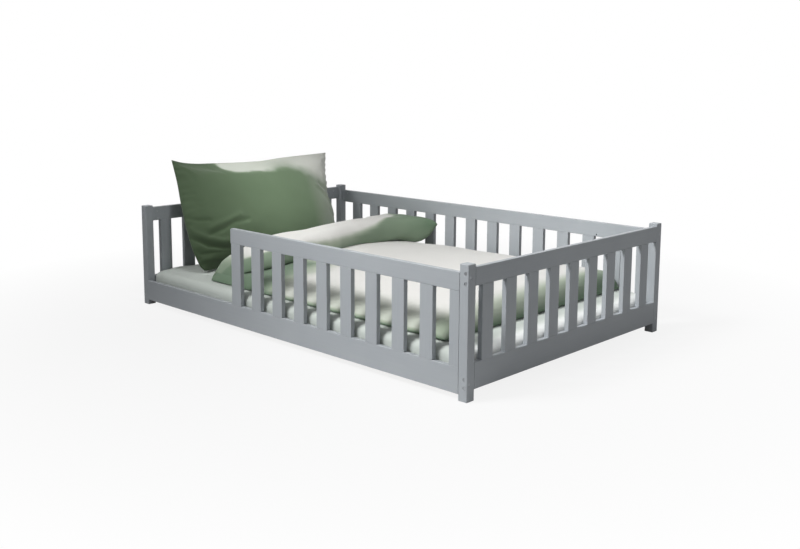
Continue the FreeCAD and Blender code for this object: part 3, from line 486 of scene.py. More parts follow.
def settle(piece, cut, pressure, cap, free):
    """Lets air pressure pull a sewn piece into its own folds.

    The piece starts in the shape it has. cut is the flat shape it was sewn from, so that cloth
    which is spare at a seam has to buckle. A move of length m is shortened to cap * tanh(m / cap),
    and free is the share of that move that each point keeps."""
    start = points_of(piece)
    piece.shape_key_add(name="sewn")
    flat_key = piece.shape_key_add(name="cut")
    flat_key.data.foreach_set("co", cut.astype(np.float32).reshape(-1))
    flat_key.value = 0
    cloth = piece.modifiers.new("cloth", "CLOTH")
    cloth.settings.rest_shape_key = flat_key
    for setting, value in COTTON_CLOTH.items():
        setattr(cloth.settings, setting, value)
    cloth.settings.uniform_pressure_force = pressure
    cloth.settings.effector_weights.gravity = 0
    cloth.collision_settings.use_collision = False
    cloth.point_cache.frame_end = SIMULATED_FRAMES
    for moment in range(1, SIMULATED_FRAMES + 1):
        bpy.context.scene.frame_set(moment)
    end = points_of(piece.evaluated_get(bpy.context.evaluated_depsgraph_get()))
    piece.modifiers.remove(cloth)
    piece.shape_key_clear()
    bpy.context.scene.frame_set(1)
    moved = end - start
    far = np.linalg.norm(moved, axis=1, keepdims=True)
    moved *= free[:, None] * cap * np.tanh(far / cap) / np.maximum(far, 1e-9)
    move_to(piece, start + moved)
    print(piece.name, "settled: mean move", round(float(far.mean()) * 1000, 1), "mm, most",
          round(float(far.max()) * 1000, 1), "mm")


def subdivide(piece, levels):
    """A subdivision surface, the same in the viewport and in the render."""
    smooth = piece.modifiers.new("smooth", "SUBSURF")
    smooth.levels = levels
    smooth.render_levels = levels


print("cloth settings:", COTTON_CLOTH)

# %% [markdown]
# ## Mattress
# A foam mattress in a knitted cover, 10 cm thick, with a round upper and lower rim. Only its
# underside shows, between the slats, and its top is kept 4 mm low, to make room for the sheet's
# folds. It is a stack of closed rings: a profile goes from the middle of the top over the rim,
# down the side and back to the middle of the underside, and each of its points is a share of the
# outline and a height.

# %% Surfaces from rings
CORNER = 0.060
RIM = 0.028
AROUND = 640
POLE = 0.0005
SHEET_ROOM = 0.004


def rounded_outline(half_long, half_wide, corner, count):
    """Points round a rectangle with round corners, evenly spaced by their length along it.

    Straight sides join quarter circles, starting from the middle of the +X side."""
    turns = np.linspace(0, math.pi / 2, 24)
    quarter = np.stack([np.cos(turns), np.sin(turns)], -1) * corner
    centre = np.array([half_long - corner, half_wide - corner])
    one = quarter + centre
    two = quarter[:, ::-1] * (-1, 1) + centre * (-1, 1)
    way = np.concatenate([[[half_long, 0]], one, two, -one, -two, [[half_long, 0]]])
    length = np.concatenate([[0], np.cumsum(np.linalg.norm(np.diff(way, axis=0), axis=1))])
    at = np.linspace(0, length[-1], count, endpoint=False)
    return np.stack([np.interp(at, length, way[:, k]) for k in (0, 1)], -1)


def run(share, height):
    """A run of profile points (share of the outline, height); one of the two may be constant."""
    return np.stack(np.broadcast_arrays(share, height), -1)


def stack_rings(outline, profile):
    """One ring for each profile point: the outline times its share, at its height.

    The points of each ring run clockwise, seen from above."""
    level = np.repeat(profile[:, 1:, None], len(outline), 1)
    return np.concatenate([outline[None] * profile[:, :1, None], level], -1)[:, ::-1]


def ring_surface(name, rings, cloth):
    """A surface from closed rings, shape (rings, points, 3); the first ring is a tiny pole."""
    count, around = rings.shape[:2]
    index = np.arange(count * around).reshape(count, around)
    index = np.concatenate([index, index[:, :1]], 1)
    faces = facing_out(rings, quads(index))
    piece = link(name, rings, faces)
    set_cloth(piece, cloth.reshape(-1, 2), faces)
    return piece


# %% Mattress
low, high = map(np.array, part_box("mattress"))
top, underside = high[2] - SHEET_ROOM, low[2]
inward = np.array([POLE, 0.25, 0.5, 0.75, 0.9])
turn = np.linspace(0, math.pi / 2, 8)
rim_in = RIM / high[1]
profile = np.concatenate([
    run(inward, top),
    run(1 - rim_in + rim_in * np.sin(turn), top - RIM + RIM * np.cos(turn)),
    run(1.0, np.linspace(top - RIM - 0.01, underside + RIM + 0.01, 4)),
    run(1 - rim_in + rim_in * np.cos(turn), underside + RIM - RIM * np.sin(turn)),
    run(inward[::-1], underside)])
rings = stack_rings(rounded_outline(high[0], high[1], CORNER, AROUND), profile)
mattress = ring_surface("mattress_cover", rings, rings[..., :2])
print("mattress", np.round((high - low) * 1000), "mm")

# %% [markdown]
# ## Fitted sheet
# The sheet is stretched over the mattress: smooth on top, drawn in by the elastic under the edge,
# with a few shallow folds that run out to the corners. It is made like the mattress, as rings, but
# its skirt gathers: the fold's height grows towards the hem, and is largest at the corners. The
# folds may sink only a little, so that the mattress never shows through. The sheet's foot end is
# painted paler as painted light, so it gets a tone there too.

# %% Fitted sheet: its rings
SHEET_RIM = RIM + 0.001
SHEET_THICK = 0.0006
low, high = map(np.array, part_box("fitted_sheet"))
sheet_long, sheet_wide = high[0] - SHEET_THICK, high[1] - SHEET_THICK
sheet_top, hem = high[2] - SHEET_THICK, low[2] + 0.001
outline = rounded_outline(sheet_long, sheet_wide, CORNER, AROUND)
turn = np.linspace(0, math.pi / 2, 10)
rim_in = SHEET_RIM / sheet_wide
profile = np.concatenate([
    run(np.array([POLE, *np.linspace(0.03, 0.94, 44)]), sheet_top),
    run(1 - rim_in + rim_in * np.sin(turn), sheet_top - SHEET_RIM + SHEET_RIM * np.cos(turn)),
    run(1.0, np.linspace(sheet_top - SHEET_RIM - 0.006, hem, 9))])
rings = stack_rings(outline, profile)
flat_place = rings[..., :2].copy()
flat_place[..., 0] += 0.5 * (sheet_top - rings[..., 2])
print("fitted sheet to", round(hem * 1000), "mm above the floor, top at", round(sheet_top * 1000))

# %% Fitted sheet: pleats and folds
PLEATS, PLEAT_DEEP = 150, 0.0016
DRAG_HIGH, CREASE_HIGH = 0.0012, 0.0045
SINK = 0.0020
CORNER_REACH = 0.16
corners = np.array([[x, y] for x in (-1, 1) for y in (-1, 1)])
corners = corners * (sheet_long - CORNER, sheet_wide - CORNER)
near = np.min([np.linalg.norm(rings[..., :2] - corner, axis=-1) for corner in corners], axis=0)
corner_share = np.exp(-(near / CORNER_REACH) ** 2)
down = smooth_step(sheet_top - 0.01, hem, rings[..., 2])
wave = np.sin(np.linspace(0, 2 * math.pi * PLEATS, AROUND))[None]
pleat = wave * PLEAT_DEEP * down * (0.15 + corner_share)
out = np.concatenate([outline, np.zeros((AROUND, 1))], -1)[::-1]
out /= np.linalg.norm(out, axis=-1, keepdims=True)
shape = rings + out[None] * pleat[..., None]
flow = rings * (1, 1, 0)
drag = noise(flow * (1.0, 2.2, 1), 0.16, 5) + 0.6 * noise(flow, 0.07, 6)
crease = 1 - 2.4 * np.abs(noise(flow * (1.6, 1.0, 1), 0.11, 7))
crease *= smooth_step(0.2, 1, -0.2 + 1.3 * corner_share)
lift = np.clip(DRAG_HIGH * drag + CREASE_HIGH * crease, -SINK, CREASE_HIGH)
shape[..., 2] += lift * (1 - down) * smooth_step(0, 0.06, profile[:, :1])
sheet = ring_surface("fitted_sheet_cotton", shape, flat_place)
# Painted light: the sheet's foot end is painted paler.
painted_light_at_foot = smooth_step(sheet_long - 0.09, sheet_long - 0.02, shape[..., 0])
set_tone(sheet, painted_light_at_foot.reshape(-1))
wall = sheet.modifiers.new("cloth thickness", "SOLIDIFY")
wall.thickness = SHEET_THICK
wall.offset = -1
print("folds from", round(float(lift.min()) * 1000, 1), "to",
      round(float(lift.max()) * 1000, 1), "mm")

# %% [markdown]
# ## Pillow
# A big soft pillow leans against the head rail. Its case is a flat bag, about 1.0 x 0.58 m, so
# when it is filled the middle swells, the edges are drawn in between the corners, and the cloth
# that is spare along the seams puckers. The smooth cushion comes from a formula, and its seam from
# three measured curves. A short cloth simulation then blows it up from its flat cut: the seam is
# almost held, because its outline is known, and the cloth is free from 9 cm inwards.

# %% Pillow: where it stands
PILLOW_LEAN = math.radians(24.5)
PILLOW_HIGH = 0.555
FOOT_FROM_HEAD = 0.2546
ABOVE_SHEET = 0.003
low, high = map(np.array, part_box("pillow"))
pillow_half_wide = (high[1] - low[1]) / 2
pillow_middle = (high[1] + low[1]) / 2
foot_z = low[2] + ABOVE_SHEET
foot_x = low[0] + FOOT_FROM_HEAD
lean_out = np.array([math.cos(PILLOW_LEAN), 0, math.sin(PILLOW_LEAN)])
lean_up = np.array([-math.sin(PILLOW_LEAN), 0, math.cos(PILLOW_LEAN)])


def pillow_place(out, across, up):
    """Local (thickness, across, up) to the bed: lean back about Y, then stand on the sheet."""
    flat = np.stack([foot_x + 0 * across, pillow_middle + across, foot_z + 0 * across], -1)
    return flat + np.multiply.outer(out, lean_out) + np.multiply.outer(up, lean_up)


print("pillow", round(2000 * pillow_half_wide), "mm wide, leaning",
      round(math.degrees(PILLOW_LEAN), 1), "degrees")

# %% [markdown]
# On the pillow, u runs from -1 in front to 1 at the back and v from 0 below to 1 on top. The
# seam's top edge and its two sides are curves in metres. The cushion between them is thickest in
# the middle: its share of the full thickness is (1 - |u|^2.6)^0.62 times (1 - |2v - 1|^2.2)^0.78.

# %% Pillow: its smooth shape
PILLOW_FRONT, PILLOW_BACK = 0.090, 0.108
PILLOW_TWIST = 0.100
PILLOW_CELL = 0.0072
SEAM_BOW = 0.010
BLUNT_ACROSS, BLUNT_UP = 0.012, 0.006
ACROSS = (-1, -0.9, -0.73, -0.55, -0.2, 0.06, 0.33, 0.62, 0.84, 1)
TOP_SEAM = (0.555, 0.542, 0.530, 0.526, 0.520, 0.519, 0.527, 0.532, 0.535, 0.537)
UP = (0, 0.11, 0.22, 0.33, 0.52, 0.64, 0.78, 1)
FRONT_SEAM = (0.002, -0.008, -0.017, -0.017, -0.014, -0.009, -0.002, 0)
BACK_SEAM = (-0.012, -0.022, -0.026, -0.029, -0.043, -0.036, -0.027, 0)
rows = int(2 * pillow_half_wide / PILLOW_CELL)
columns = int(PILLOW_HIGH / PILLOW_CELL)
u, v = np.meshgrid(np.linspace(-1, 1, rows), np.linspace(0, 1, columns), indexing="ij")
w = 2 * v - 1
seam_low = SEAM_BOW * np.sqrt(np.clip(1 - u * u, 0, 1))
seam_up = seam_low + v * (through(u, ACROSS, TOP_SEAM) - seam_low)
pull = (through(v, UP, FRONT_SEAM) * smooth_step(0.3, 1, -u)
        + through(v, UP, BACK_SEAM) * smooth_step(0.3, 1, u))
seam_across = u * pillow_half_wide + pull
blunt = np.exp(-((1 + u) / 0.035) ** 2 - (v / 0.04) ** 2)
seam_across += BLUNT_ACROSS * blunt
seam_up += BLUNT_UP * blunt
full = np.clip(1 - np.abs(u) ** 2.6, 0, 1) ** 0.62 * np.clip(1 - np.abs(w) ** 2.2, 0, 1) ** 0.78
push = np.multiply.outer(-PILLOW_TWIST * np.clip(u, 0, 1) ** 2.5 * (1 - v), (1, 0, 0))
front = pillow_place(PILLOW_FRONT * full, seam_across, seam_up) + push
back = pillow_place(-PILLOW_BACK * full, seam_across, seam_up) + push
print("pillow", rows, "x", columns, "cells a side")

# %% Pillow: sewn and filled
CASE_WIDE, CASE_HIGH = 1.0, 0.575
CUT_HIGH, CUT_BELOW = 0.578, 0.011
HELD_SHARE, HELD_REACH = 0.12, 0.09
PILLOW_PRESSURE, PILLOW_CAP = 2.0, 0.020
case = np.stack([u * CASE_WIDE / 2, v * CASE_HIGH], -1)
pillow = sewn_pair("pillow_case", front, back, case)
cut_front, cut_back = (pillow_place(0 * u + side, u * CASE_WIDE / 2, v * CUT_HIGH - CUT_BELOW)
                       for side in (0.0005, -0.0005))
side_gap = (1 - np.abs(u)) * pillow_half_wide
seam_gap = np.minimum(side_gap, (1 - np.abs(w)) * PILLOW_HIGH / 2)
free = HELD_SHARE + (1 - HELD_SHARE) * smooth_step(0, HELD_REACH, seam_gap)
settle(pillow, both(cut_front, cut_back), PILLOW_PRESSURE, PILLOW_CAP, both(free, free))
print("pillow sewn, lowest point", round(float(points_of(pillow)[:, 2].min()) * 1000, 1), "mm")

# %% [markdown]
# Where the pillow stands on its lower front corner and where the duvet pushes it, the case
# creases. Each crease follows a few straight legs and has a soft valley or ridge for a section:
# its depth times exp(-(distance / width)^2). Along the two side seams the spare cloth lies in
# short puckers, a wave that dies away inwards.

# %% Creases of the pillow
def near_line(points, way):
    """Distance of flat points to a line of straight legs: the least distance to any leg."""
    least = np.full(points.shape[:-1], np.inf)
    for start, end in zip(np.array(way[:-1]), np.array(way[1:])):
        leg = end - start
        share = np.clip((points - start) @ leg / (leg @ leg), 0, 1)
        least = np.minimum(least, np.linalg.norm(points - start - share[..., None] * leg, axis=-1))
    return least


# Depth and half width in metres, then the line in (across, up) on the pillow.
PILLOW_CREASES = (
    (-0.012, 0.009, ((-0.53, 0.190), (-0.482, 0.155), (-0.433, 0.112), (-0.37, 0.090),
                     (-0.30, 0.080))),
    (0.008, 0.012, ((-0.50, 0.205), (-0.44, 0.150), (-0.38, 0.122), (-0.30, 0.110))),
    (-0.006, 0.007, ((-0.475, 0.084), (-0.40, 0.078), (-0.32, 0.066))),
    (0.006, 0.010, ((-0.47, 0.060), (-0.40, 0.048), (-0.34, 0.040))),
    (-0.006, 0.010, ((-0.42, 0.160), (-0.35, 0.176), (-0.295, 0.198), (-0.22, 0.200))),
    (0.005, 0.014, ((-0.42, 0.190), (-0.33, 0.208), (-0.26, 0.228))),
    (-0.005, 0.008, ((-0.50, 0.262), (-0.45, 0.236), (-0.41, 0.225))),
    (-0.010, 0.011, ((0.300, 0.352), (0.325, 0.330), (0.365, 0.312))),
    (0.009, 0.009, ((0.270, 0.336), (0.325, 0.296), (0.365, 0.245), (0.390, 0.190))),
    (-0.006, 0.008, ((0.362, 0.425), (0.395, 0.385))),
    (-0.005, 0.008, ((0.340, 0.205), (0.375, 0.172))),
    (-0.004, 0.007, ((0.395, 0.500), (0.425, 0.470))),
)
PUCKER_LONG, PUCKER_REACH = 0.038, 0.024
PUCKER_BACK, PUCKER_FRONT = 0.0080, 0.0028
moved = points_of(pillow)
place_now = moved[:rows * columns].reshape(rows, columns, 3)
flat_now = np.stack([place_now[..., 1], (place_now - (foot_x, 0, foot_z)) @ lean_up], -1)
relief = sum(depth * np.exp(-(near_line(flat_now, way) / width) ** 2)
             for depth, width, way in PILLOW_CREASES)
wave = np.sin(2 * math.pi * (seam_up / PUCKER_LONG + 0.4 * noise(front, 0.06, 16)))
relief += PUCKER_BACK * wave * np.exp(-side_gap / PUCKER_REACH) * smooth_step(-0.2, 0.9, u)
relief += PUCKER_FRONT * wave * np.exp(-side_gap / PUCKER_REACH) * smooth_step(-0.2, 0.9, -u)
relief += 0.0022 * noise(front * (1, 1, 1.6), 0.11, 17) + 0.0010 * noise(front, 0.04, 18)
relief *= np.minimum(smooth_step(0, 0.02, 1 - np.abs(u)), smooth_step(0, 0.05, 1 - np.abs(w)))
moved[:rows * columns] += np.multiply.outer(relief.reshape(-1), lean_out)
move_to(pillow, moved)
print("creases from", round(float(relief.min()) * 1000, 1), "to",
      round(float(relief.max()) * 1000, 1), "mm")

# %% [markdown]
# The case is sage green. Its top is painted pale grey as a painted highlight, and it is paler
# along its back seam. It is darkest at its lower front corner, a painted shade, and lighter
# towards the back and the top. The border of the highlight is a curve across the pillow, made
# ragged by noise, crisp at the front and wide at the back.

# %% Dye of the pillow case, with painted highlight and painted shade
HIGHLIGHT_AT = (-1, -0.6, -0.45, -0.2, 0.1, 0.4, 0.65, 1)
HIGHLIGHT_LINE = (0.95, 0.92, 0.80, 0.77, 0.70, 0.56, 0.45, 0.38)
BACK_TONE = 0.16
ragged = 0.035 * noise(front, 0.10, 13) + 0.02 * noise(front, 0.03, 14)
soft_side = 0.12 + 0.28 * smooth_step(-0.2, 0.6, u)
# Painted highlight: the top is painted pale, strongest towards the back, dimmer near u = 0.25.
painted_highlight = (smooth_step(0, 1, (v - through(u, HIGHLIGHT_AT, HIGHLIGHT_LINE) + ragged) / soft_side)
            * smooth_step(-0.70, -0.43, u + 2 * ragged))
painted_highlight *= 0.84 + 0.16 * smooth_step(0.1, 0.8, u)
painted_highlight *= 1 - 0.24 * np.exp(-((u - 0.25) / 0.17) ** 2) * smooth_step(1.02, 0.86, v)
# Paler along the back seam, in a thin line at the edge.
pale_back_seam = 0.90 * smooth_step(0.955, 0.99, u + ragged * 0.3) * smooth_step(0.1, 0.4, v)
# Painted shade: darker towards the lower front corner, lighter towards the back and the top.
painted_shade_tone = 0.11 + 0.24 * smooth_step(-0.9, 0.1, u) + 0.30 * smooth_step(0.1, 0.9, u)
painted_shade_tone *= smooth_step(0.05, 0.60, v + 0.35 * (u + 1))
front_tone = np.maximum(np.maximum(painted_highlight, pale_back_seam), painted_shade_tone)
set_tone(pillow, both(front_tone, BACK_TONE + 0 * u))
print("mean fade of the pillow's front", round(float(front_tone.mean()), 2))
subdivide(pillow, 1)

# %% [markdown]
# ## Duvet
# The duvet is one quilt, folded back over itself at the head end. It is thin at the front, where
# it was pulled out straight, and full at the back, and the fold presses the layer under it. The
# fold's back corner swings towards the foot end and stands up. So its thickness, the rise of the
# fold and the place of its lip are curves across the bed, from b = -1 in front to b = 1 behind.
# The bend under the fold is drawn in towards the foot end at its front and at its back.

# %% Duvet: its course across the bed
LAYER, PRESSED = 0.080, 0.014
FOLD_LAYER, FOLD_LEAST = 0.124, 0.010
FOLD_WIDE, SWEEP = 0.231, 0.230
DRAWN_FRONT, DRAWN_BACK = 0.075, 0.030
DUVET_CELL = 0.0129
STATIONS = (-1, -0.94, -0.76, -0.42, 0.05, 0.5, 0.84, 0.95, 1)
PLUMP = (0.22, 0.46, 0.66, 0.92, 1.0, 1.0, 0.95, 0.90, 0.82)
RISE = (0.03, 0.09, 0.30, 0.62, 0.69, 0.80, 0.90, 0.99, 1.08)
LIP_SWEEP = (0, 0.15, 0.34, 0.40, 0.15, 0, 0.42, 0.86, 1.02)
low, high = map(np.array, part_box("duvet"))
sheet_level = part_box("fitted_sheet")[1].z + 0.0015
front_y, back_y = low[1] + 0.001, high[1] - 0.001
head_x, foot_x_edge = low[0] + 0.020, high[0] - 0.006
columns = int((back_y - front_y) / DUVET_CELL)
b = np.linspace(-1, 1, columns)
plump, rise, sweep = (through(b, STATIONS, heights) for heights in (PLUMP, RISE, LIP_SWEEP))
head = (head_x + DRAWN_FRONT * np.exp(-((b + 1) / 0.16) ** 2)
        + DRAWN_BACK * np.exp(-((1 - b) / 0.12) ** 2))
lip_x = low[0] + FOLD_WIDE + SWEEP * sweep
layer = LAYER * plump
layer_under = layer - PRESSED * plump
fold_layer = FOLD_LEAST + (FOLD_LAYER - FOLD_LEAST) * rise
print("fold", round(float(fold_layer.min()) * 1000), "to", round(float(fold_layer.max()) * 1000),
      "mm thick, lip at x", np.round(lip_x[[0, columns // 2, -1]] * 1000))

# %% [markdown]
# Along the bed the middle surface has three stretches. It runs from the foot edge over the
# mattress, turns up and over in a half circle, and comes back as the fold. The thickness is least
# at the seams and grows with a quarter circle from each of them.

# %% Duvet: its way along the bed and its thickness
SLIT = 0.006
SEAM = 0.0015
SIDE_ROUND, FOOT_ROUND, LIP_ROUND = 0.045, 0.07, 0.075
BEND_DIP = 0.14
bend_cells, fold_cells = 16, 18
run_cells = int((foot_x_edge - head_x - 0.1) / DUVET_CELL)
a_run = np.linspace(0, 1, run_cells + 1)[:, None]
a_bend = np.linspace(0, 1, bend_cells + 1)[1:, None]
a_fold = np.linspace(0, 1, fold_cells + 1)[1:, None]
bend_radius = (layer_under / 2 + SLIT + fold_layer / 2) / 2
# The bend's outside reaches the head line: half its middle thickness lies beyond its radius.
bend_x = head + bend_radius + 0.25 * (layer_under + fold_layer) * (1 - BEND_DIP)
x_run = foot_x_edge + a_run * (bend_x - foot_x_edge)
x_bend = bend_x - bend_radius * np.sin(math.pi * a_bend)
x_fold = bend_x + a_fold * (lip_x - bend_x)
side_edge = edge_round(np.minimum(b + 1, 1 - b) * (back_y - front_y) / 2, SIDE_ROUND)
foot_edge = edge_round(foot_x_edge - x_run, FOOT_ROUND)
lip_edge = edge_round(lip_x - x_fold, LIP_ROUND)
run_layer = layer_under + (layer - layer_under) * smooth_step(lip_x - 0.04, lip_x + 0.22, x_run)
thick_run = SEAM + run_layer * side_edge * foot_edge
bend_dip = 1 - BEND_DIP * np.sin(math.pi * a_bend)
thick_bend = SEAM + (layer_under + (fold_layer - layer_under) * a_bend) * side_edge * bend_dip
thick_fold = SEAM + fold_layer * side_edge * lip_edge
print("cells along the run, the bend and the fold:", run_cells, bend_cells, fold_cells)

# %% [markdown]
# The run lies on the sheet, and the fold on the run. The fold's seam needn't lie in the middle of
# its thickness: END_SEAM is its height on the fold's back and front end, and TIP_SEAM along the
# lip near the back corner, each as a share of the fold's thickness. A high seam makes a blunt end
# with a raised tip. Slow noise then makes the filling uneven, and fast noise puckers the fold's
# back part. The outward direction of the outer sheet turns from down along the run, through -X in
# the bend, to up on the fold.

# %% Duvet: its two sheets
END_SEAM_BACK, END_SEAM_FRONT = 0.92, 0.15
TIP_SEAM = 0.80
SETBACK_FRONT, SETBACK_BACK = 0.030, 0.010
end_seam = np.where(b > 0, END_SEAM_BACK, END_SEAM_FRONT)
tip_seam = TIP_SEAM * smooth_step(0.68, 0.96, b)
z_run = sheet_level + thick_run / 2
z_low = sheet_level + (SEAM + layer_under * side_edge) / 2
fold_floor = sheet_level + layer_under + SLIT
top_share = 1 - (1 - end_seam) * (1 - side_edge)
z_high = fold_floor + fold_layer * (top_share - side_edge / 2) + SEAM / 2
z_bend = (z_low + z_high) / 2 - (z_high - z_low) / 2 * np.cos(math.pi * a_bend)
top_share = np.maximum(top_share - (1 - tip_seam) * (1 - lip_edge), side_edge * lip_edge)
z_fold = fold_floor + fold_layer * (top_share - side_edge * lip_edge / 2) + SEAM / 2
mid_x = np.concatenate([x_run, x_bend, x_fold])
mid_z = np.concatenate([z_run, z_bend, z_fold])
thick = np.concatenate([thick_run, thick_bend, thick_fold])
turned = np.concatenate([0 * a_run, a_bend, 0 * a_fold + 1])
setback = turned * (SETBACK_FRONT * ((1 - b) / 2) ** 6 - SETBACK_BACK * ((1 + b) / 2) ** 6)
mid_y = front_y + (b + 1) / 2 * (back_y - front_y) + setback
centre = np.stack([mid_x, mid_y, mid_z], -1)
turn = math.pi * turned
outward = np.stack([-np.sin(turn), 0 * turn, -np.cos(turn)], -1)
billow = 1 + 0.08 * noise(centre, 0.30, 21) + 0.05 * noise(centre, 0.13, 22)
billow += 0.09 * noise(centre, 0.045, 23) * smooth_step(0.2, 0.6, b)[None] * turned
thick = SEAM + (thick - SEAM) * billow
outside = centre + outward * thick[..., None] / 2
inside = centre - outward * thick[..., None] / 2
print("duvet", outside.shape[:2], "points a side, up to", round(float(thick.max()) * 1000),
      "mm thick")

# %% Duvet: sewn and filled
DUVET_WIDE = 1.15
SLACK = 1.02
DUVET_PRESSURE, DUVET_CAP = 1.5, 0.006
cloth_a = np.concatenate([[[0]], np.cumsum(np.linalg.norm(
    np.diff(centre[:, columns // 2], axis=0), axis=1))[:, None]])
cloth_b = np.broadcast_to((b + 1) / 2 * DUVET_WIDE, mid_x.shape)
cloth_place = np.stack([cloth_a + 0 * mid_x, cloth_b], -1)
duvet = sewn_pair("duvet_cover", outside, inside, cloth_place)
cut_flat = np.stack([cloth_place[..., 0] * SLACK - 0.9, cloth_place[..., 1] * SLACK - 0.59,
                     0 * mid_x + 0.3], -1)
all_free = 1 + 0 * both(mid_x, mid_x)
settle(duvet, both(cut_flat, cut_flat), DUVET_PRESSURE, DUVET_CAP, all_free)
print("duvet cloth", round(float(cloth_a[-1, 0]), 2), "x", DUVET_WIDE, "m")

# %% [markdown]
# The cover is dyed sage green on its underside and off-white on top. The fold shows the green
# underside, painted off-white over its ridge as a painted highlight, above a green band along its
# free edge and its far end. On the run, painted shade makes the top greener at the front edge, and
# near the head at the front, where the corner also turns its green side up. The foot end is
# greener, partly dye and partly painted shade. The fold's lower face, down in the slit, is green
# as painted shade.
# Each area is a product of smooth steps: over the fold from 0 at its bend to 1 at its lip, and
# across the bed from -1 in front to 1 at the back.

# %% Dye of the duvet cover, with painted highlight and painted shade
# Where the painted highlight gives way to the green band along the lip, as a share over the fold.
BAND_AT = (-1, -0.85, -0.72, -0.42, -0.1, 0.1, 0.3, 0.5, 0.65, 0.8, 0.9, 1)
BAND_FROM = (0.62, 0.72, 0.80, 0.93, 0.975, 0.970, 0.950, 0.930, 0.88, 0.76, 0.60, 0.43)
# How green the foot end is across the bed: partly dye, partly painted shade.
FOOT_AT = (-1, -0.5, 0, 0.35, 0.7, 1)
FOOT_DYE_AND_SHADE = (0.50, 0.50, 0.60, 0.75, 0.95, 1)


def duvet_tone():
    """Dye and painted light on the outer sheet and the inner sheet, each a grid over the duvet."""
    rough = noise(centre, 0.10, 31) + 0.5 * noise(centre, 0.035, 32)
    over = (np.arange(len(mid_x))[:, None] - run_cells) / (bend_cells + fold_cells)
    band = through(b, BAND_AT, BAND_FROM)[None]
    # Painted highlight: the fold's green side is painted off-white over its ridge.
    outer = 1 - 0.88 * smooth_step(band - 0.04, band + 0.04, over + 0.02 * rough)
    outer *= smooth_step(0.18, 0.42, over)
    outer *= 1 - smooth_step(0.82, 0.99, b[None] + 0.06 * rough)
    outer *= 0.15 + 0.85 * smooth_step(-0.96, -0.66, b[None] + 0.04 * rough)
    # Greener near the head at the front: partly the turned corner, partly painted shade.
    inner = smooth_step(-0.27, -0.05, mid_x + 0.03 * rough)
    inner = np.maximum(inner, smooth_step(-0.45, -0.20, b)[None] + 0 * mid_x)
    # Painted shade: greener along the front edge.
    front_painted_shade = 0.24 + 0.12 * smooth_step(-0.1, 0.4, mid_x)
    inner *= 1 - front_painted_shade * (1 - smooth_step(-0.95, -0.60, b[None]))
    # Painted shade: the inner sheet of the bend and the fold, in the slit, is green.
    inner *= 1 - 0.9 * (over > 0.02)
    # Greener at the foot end: partly dye, partly painted shade.
    foot = smooth_step(foot_x_edge - 0.15, foot_x_edge - 0.02, mid_x)
    inner *= 1 - foot * through(b, FOOT_AT, FOOT_DYE_AND_SHADE)[None]
    return both(outer, inner)


duvet_dye_and_light = duvet_tone()
set_tone(duvet, duvet_dye_and_light)
subdivide(duvet, 1)
print("mean fade of the duvet", round(float(duvet_dye_and_light.mean()), 2))

# %% [markdown]
# ## Finishes and bodies
# Each soft piece takes its cotton, rides on the body that lifts it out of the bed, and stands for
# the plain solid that the physics keeps.

# %% Finishes and bodies
# Dark, middle and pale end of each ramp. The pillow's dark end is painted shade and its pale end a
# painted highlight; the duvet's pale end is also its fold's painted highlight, and the sheet's
# pale end is its painted light at the foot.
PILLOW_SAGE_WITH_PAINTED_LIGHT = "#2F4225", "#667C5E", "#DDDFD7"
DUVET_SAGE_WITH_PAINTED_LIGHT = "#5E755D", "#A3AE9B", "#DFDEDA"
SHEET_PALE_WITH_PAINTED_LIGHT = "#C1C8C2", "#D6DBD6", "#F0F2F0"
UNDYED = ("#DBDCD6",) * 3
pillow.data.materials.append(cotton("sage_cotton_pillow_case", *PILLOW_SAGE_WITH_PAINTED_LIGHT))
duvet.data.materials.append(cotton("sage_cotton_duvet_cover", *DUVET_SAGE_WITH_PAINTED_LIGHT))
sheet.data.materials.append(cotton("pale_cotton_sheet", *SHEET_PALE_WITH_PAINTED_LIGHT, shade=0.02))
mattress.data.materials.append(cotton("knitted_mattress_cover", *UNDYED, shade=0.05))
for piece, body, node, place, fill in (
        (mattress, "mattress", "mattress", "mattress_cover", 0.9),
        (duvet, "duvet", "duvet", "duvet_cotton", 0.5),
        (pillow, "pillow", "pillow", "pillow_cotton", 0.7)):
    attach(piece, body)
    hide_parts(node)
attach(sheet, "mattress")
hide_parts("fitted_sheet")

# %% [markdown]
# ## Floor, lamps and background
# A product picture stands on white. The floor and the world are white to the camera, and the
# floor still takes a share of the soft shadow. Its own colour is a light grey, so that little
# light is thrown back up at the boards. A large soft lamp from the front left and above gives the
# bed its form. Its beam is narrow and aims past the middle, so the head end is darker. A weak lamp
# brings out the foot end, a small one the pillow, and the world fills the shadows.

# %% Floor
FLOOR_GREY = "#CECECE"
SHADOW_SHARE = 0.15
SHADOW_NEAR, SHADOW_FAR = 0.9, 2.3


def white_floor():
    """White to the camera, apart from a share of the real shadow."""
    material, tree = new_material("white_studio_floor")
    real = add_node(tree, "ShaderNodeBsdfDiffuse", {"Color": linear(FLOOR_GREY)}).outputs["BSDF"]
    plain = add_node(tree, "ShaderNodeEmission", {"Color": (1, 1, 1, 1), "Strength": 1.0})
    ray = add_node(tree, "ShaderNodeLightPath")
    place = add_node(tree, "ShaderNodeTexCoord").outputs["Object"]
    away = add_node(tree, "ShaderNodeVectorMath", {0: place}, operation="LENGTH").outputs["Value"]
    white = add_node(tree, "ShaderNodeMapRange", {
        "Value": away, "From Min": SHADOW_NEAR, "From Max": SHADOW_FAR, "To Min": 1 - SHADOW_SHARE,
        "To Max": 1.0}).outputs["Result"]
    seen = add_node(tree, "ShaderNodeMath", {
        0: ray.outputs["Is Camera Ray"], 1: white}, operation="MULTIPLY").outputs[0]
    output(tree, add_node(tree, "ShaderNodeMixShader", {
        0: seen, 1: real, 2: plain.outputs["Emission"]}).outputs["Shader"])
    return material


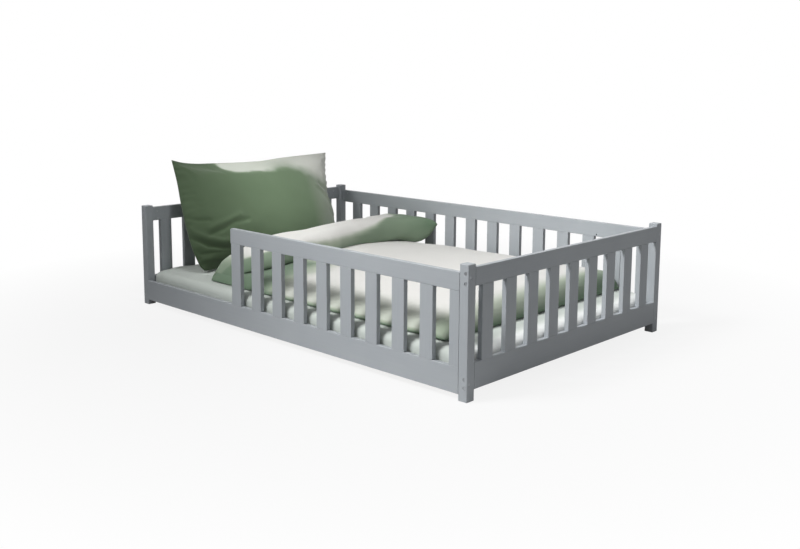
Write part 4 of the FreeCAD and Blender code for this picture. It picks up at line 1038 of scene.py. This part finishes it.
floor_points = np.array([[-9, -9, 0], [9, -9, 0], [9, 9, 0], [-9, 9, 0]], float)
floor = link("floor", floor_points, np.array([[0, 1, 2, 3]]))
floor.data.materials.append(white_floor())
print("floor shows", SHADOW_SHARE, "of its shadow up to", SHADOW_NEAR, "m from the middle")

# %% Background
FILL = 0.25
world = bpy.data.worlds.new("studio")
bpy.context.scene.world = world
world.use_nodes = True
world.node_tree.nodes.clear()
ray = add_node(world.node_tree, "ShaderNodeLightPath")
mirrored = add_node(world.node_tree, "ShaderNodeMath", {
    0: ray.outputs["Is Camera Ray"], 1: ray.outputs["Is Glossy Ray"]},
    operation="ADD", use_clamp=True)
shown = add_node(world.node_tree, "ShaderNodeMath", {
    0: mirrored.outputs[0], 1: ray.outputs["Is Transmission Ray"]},
    operation="ADD", use_clamp=True)
strength = add_node(world.node_tree, "ShaderNodeMapRange", {
    "Value": shown.outputs[0], "To Min": FILL, "To Max": 1.0})
ground = add_node(world.node_tree, "ShaderNodeBackground", {
    "Color": (1, 1, 1, 1), "Strength": strength.outputs["Result"]})
add_node(world.node_tree, "ShaderNodeOutputWorld", {"Surface": ground.outputs["Background"]})
print("fill from the world:", FILL)


# %% Lamps
def soft_lamp(name, place, aim, watts, size, spread):
    """A square lamp at a place, facing a point. Its spread in degrees is the width of its beam."""
    data = bpy.data.lights.new(name, "AREA")
    data.energy = watts
    data.size = size
    data.spread = math.radians(spread)
    lamp = bpy.data.objects.new(name, data)
    bpy.context.scene.collection.objects.link(lamp)
    ahead = np.array(aim, float) - np.array(place, float)
    ahead /= np.linalg.norm(ahead)
    right = np.cross(ahead, (0, 0, 1))
    right /= np.linalg.norm(right)
    turn = np.eye(4)
    turn[:3, :3] = np.stack([right, np.cross(right, ahead), -ahead], 1)
    turn[:3, 3] = place
    lamp.matrix_world = turn.T.tolist()


# Name, place, the point it faces, watts, side in metres, width of the beam in degrees.
LAMPS = (
    ("key_lamp", (-0.7, -3.1, 3.9), (0.85, 0.2, 0.4), 24, 1.6, 46),
    ("foot_lamp", (3.4, -1.2, 1.6), (0.9, 0, 0.2), 1.5, 1.2, 120),
    ("pillow_lamp", (0.5, -0.4, 2.4), (-0.75, -0.1, 0.45), 1.3, 0.5, 30),
)
for lamp in LAMPS:
    soft_lamp(*lamp)
bpy.context.scene.view_settings.view_transform = "Standard"
print("lamps:", [lamp[0] for lamp in LAMPS])
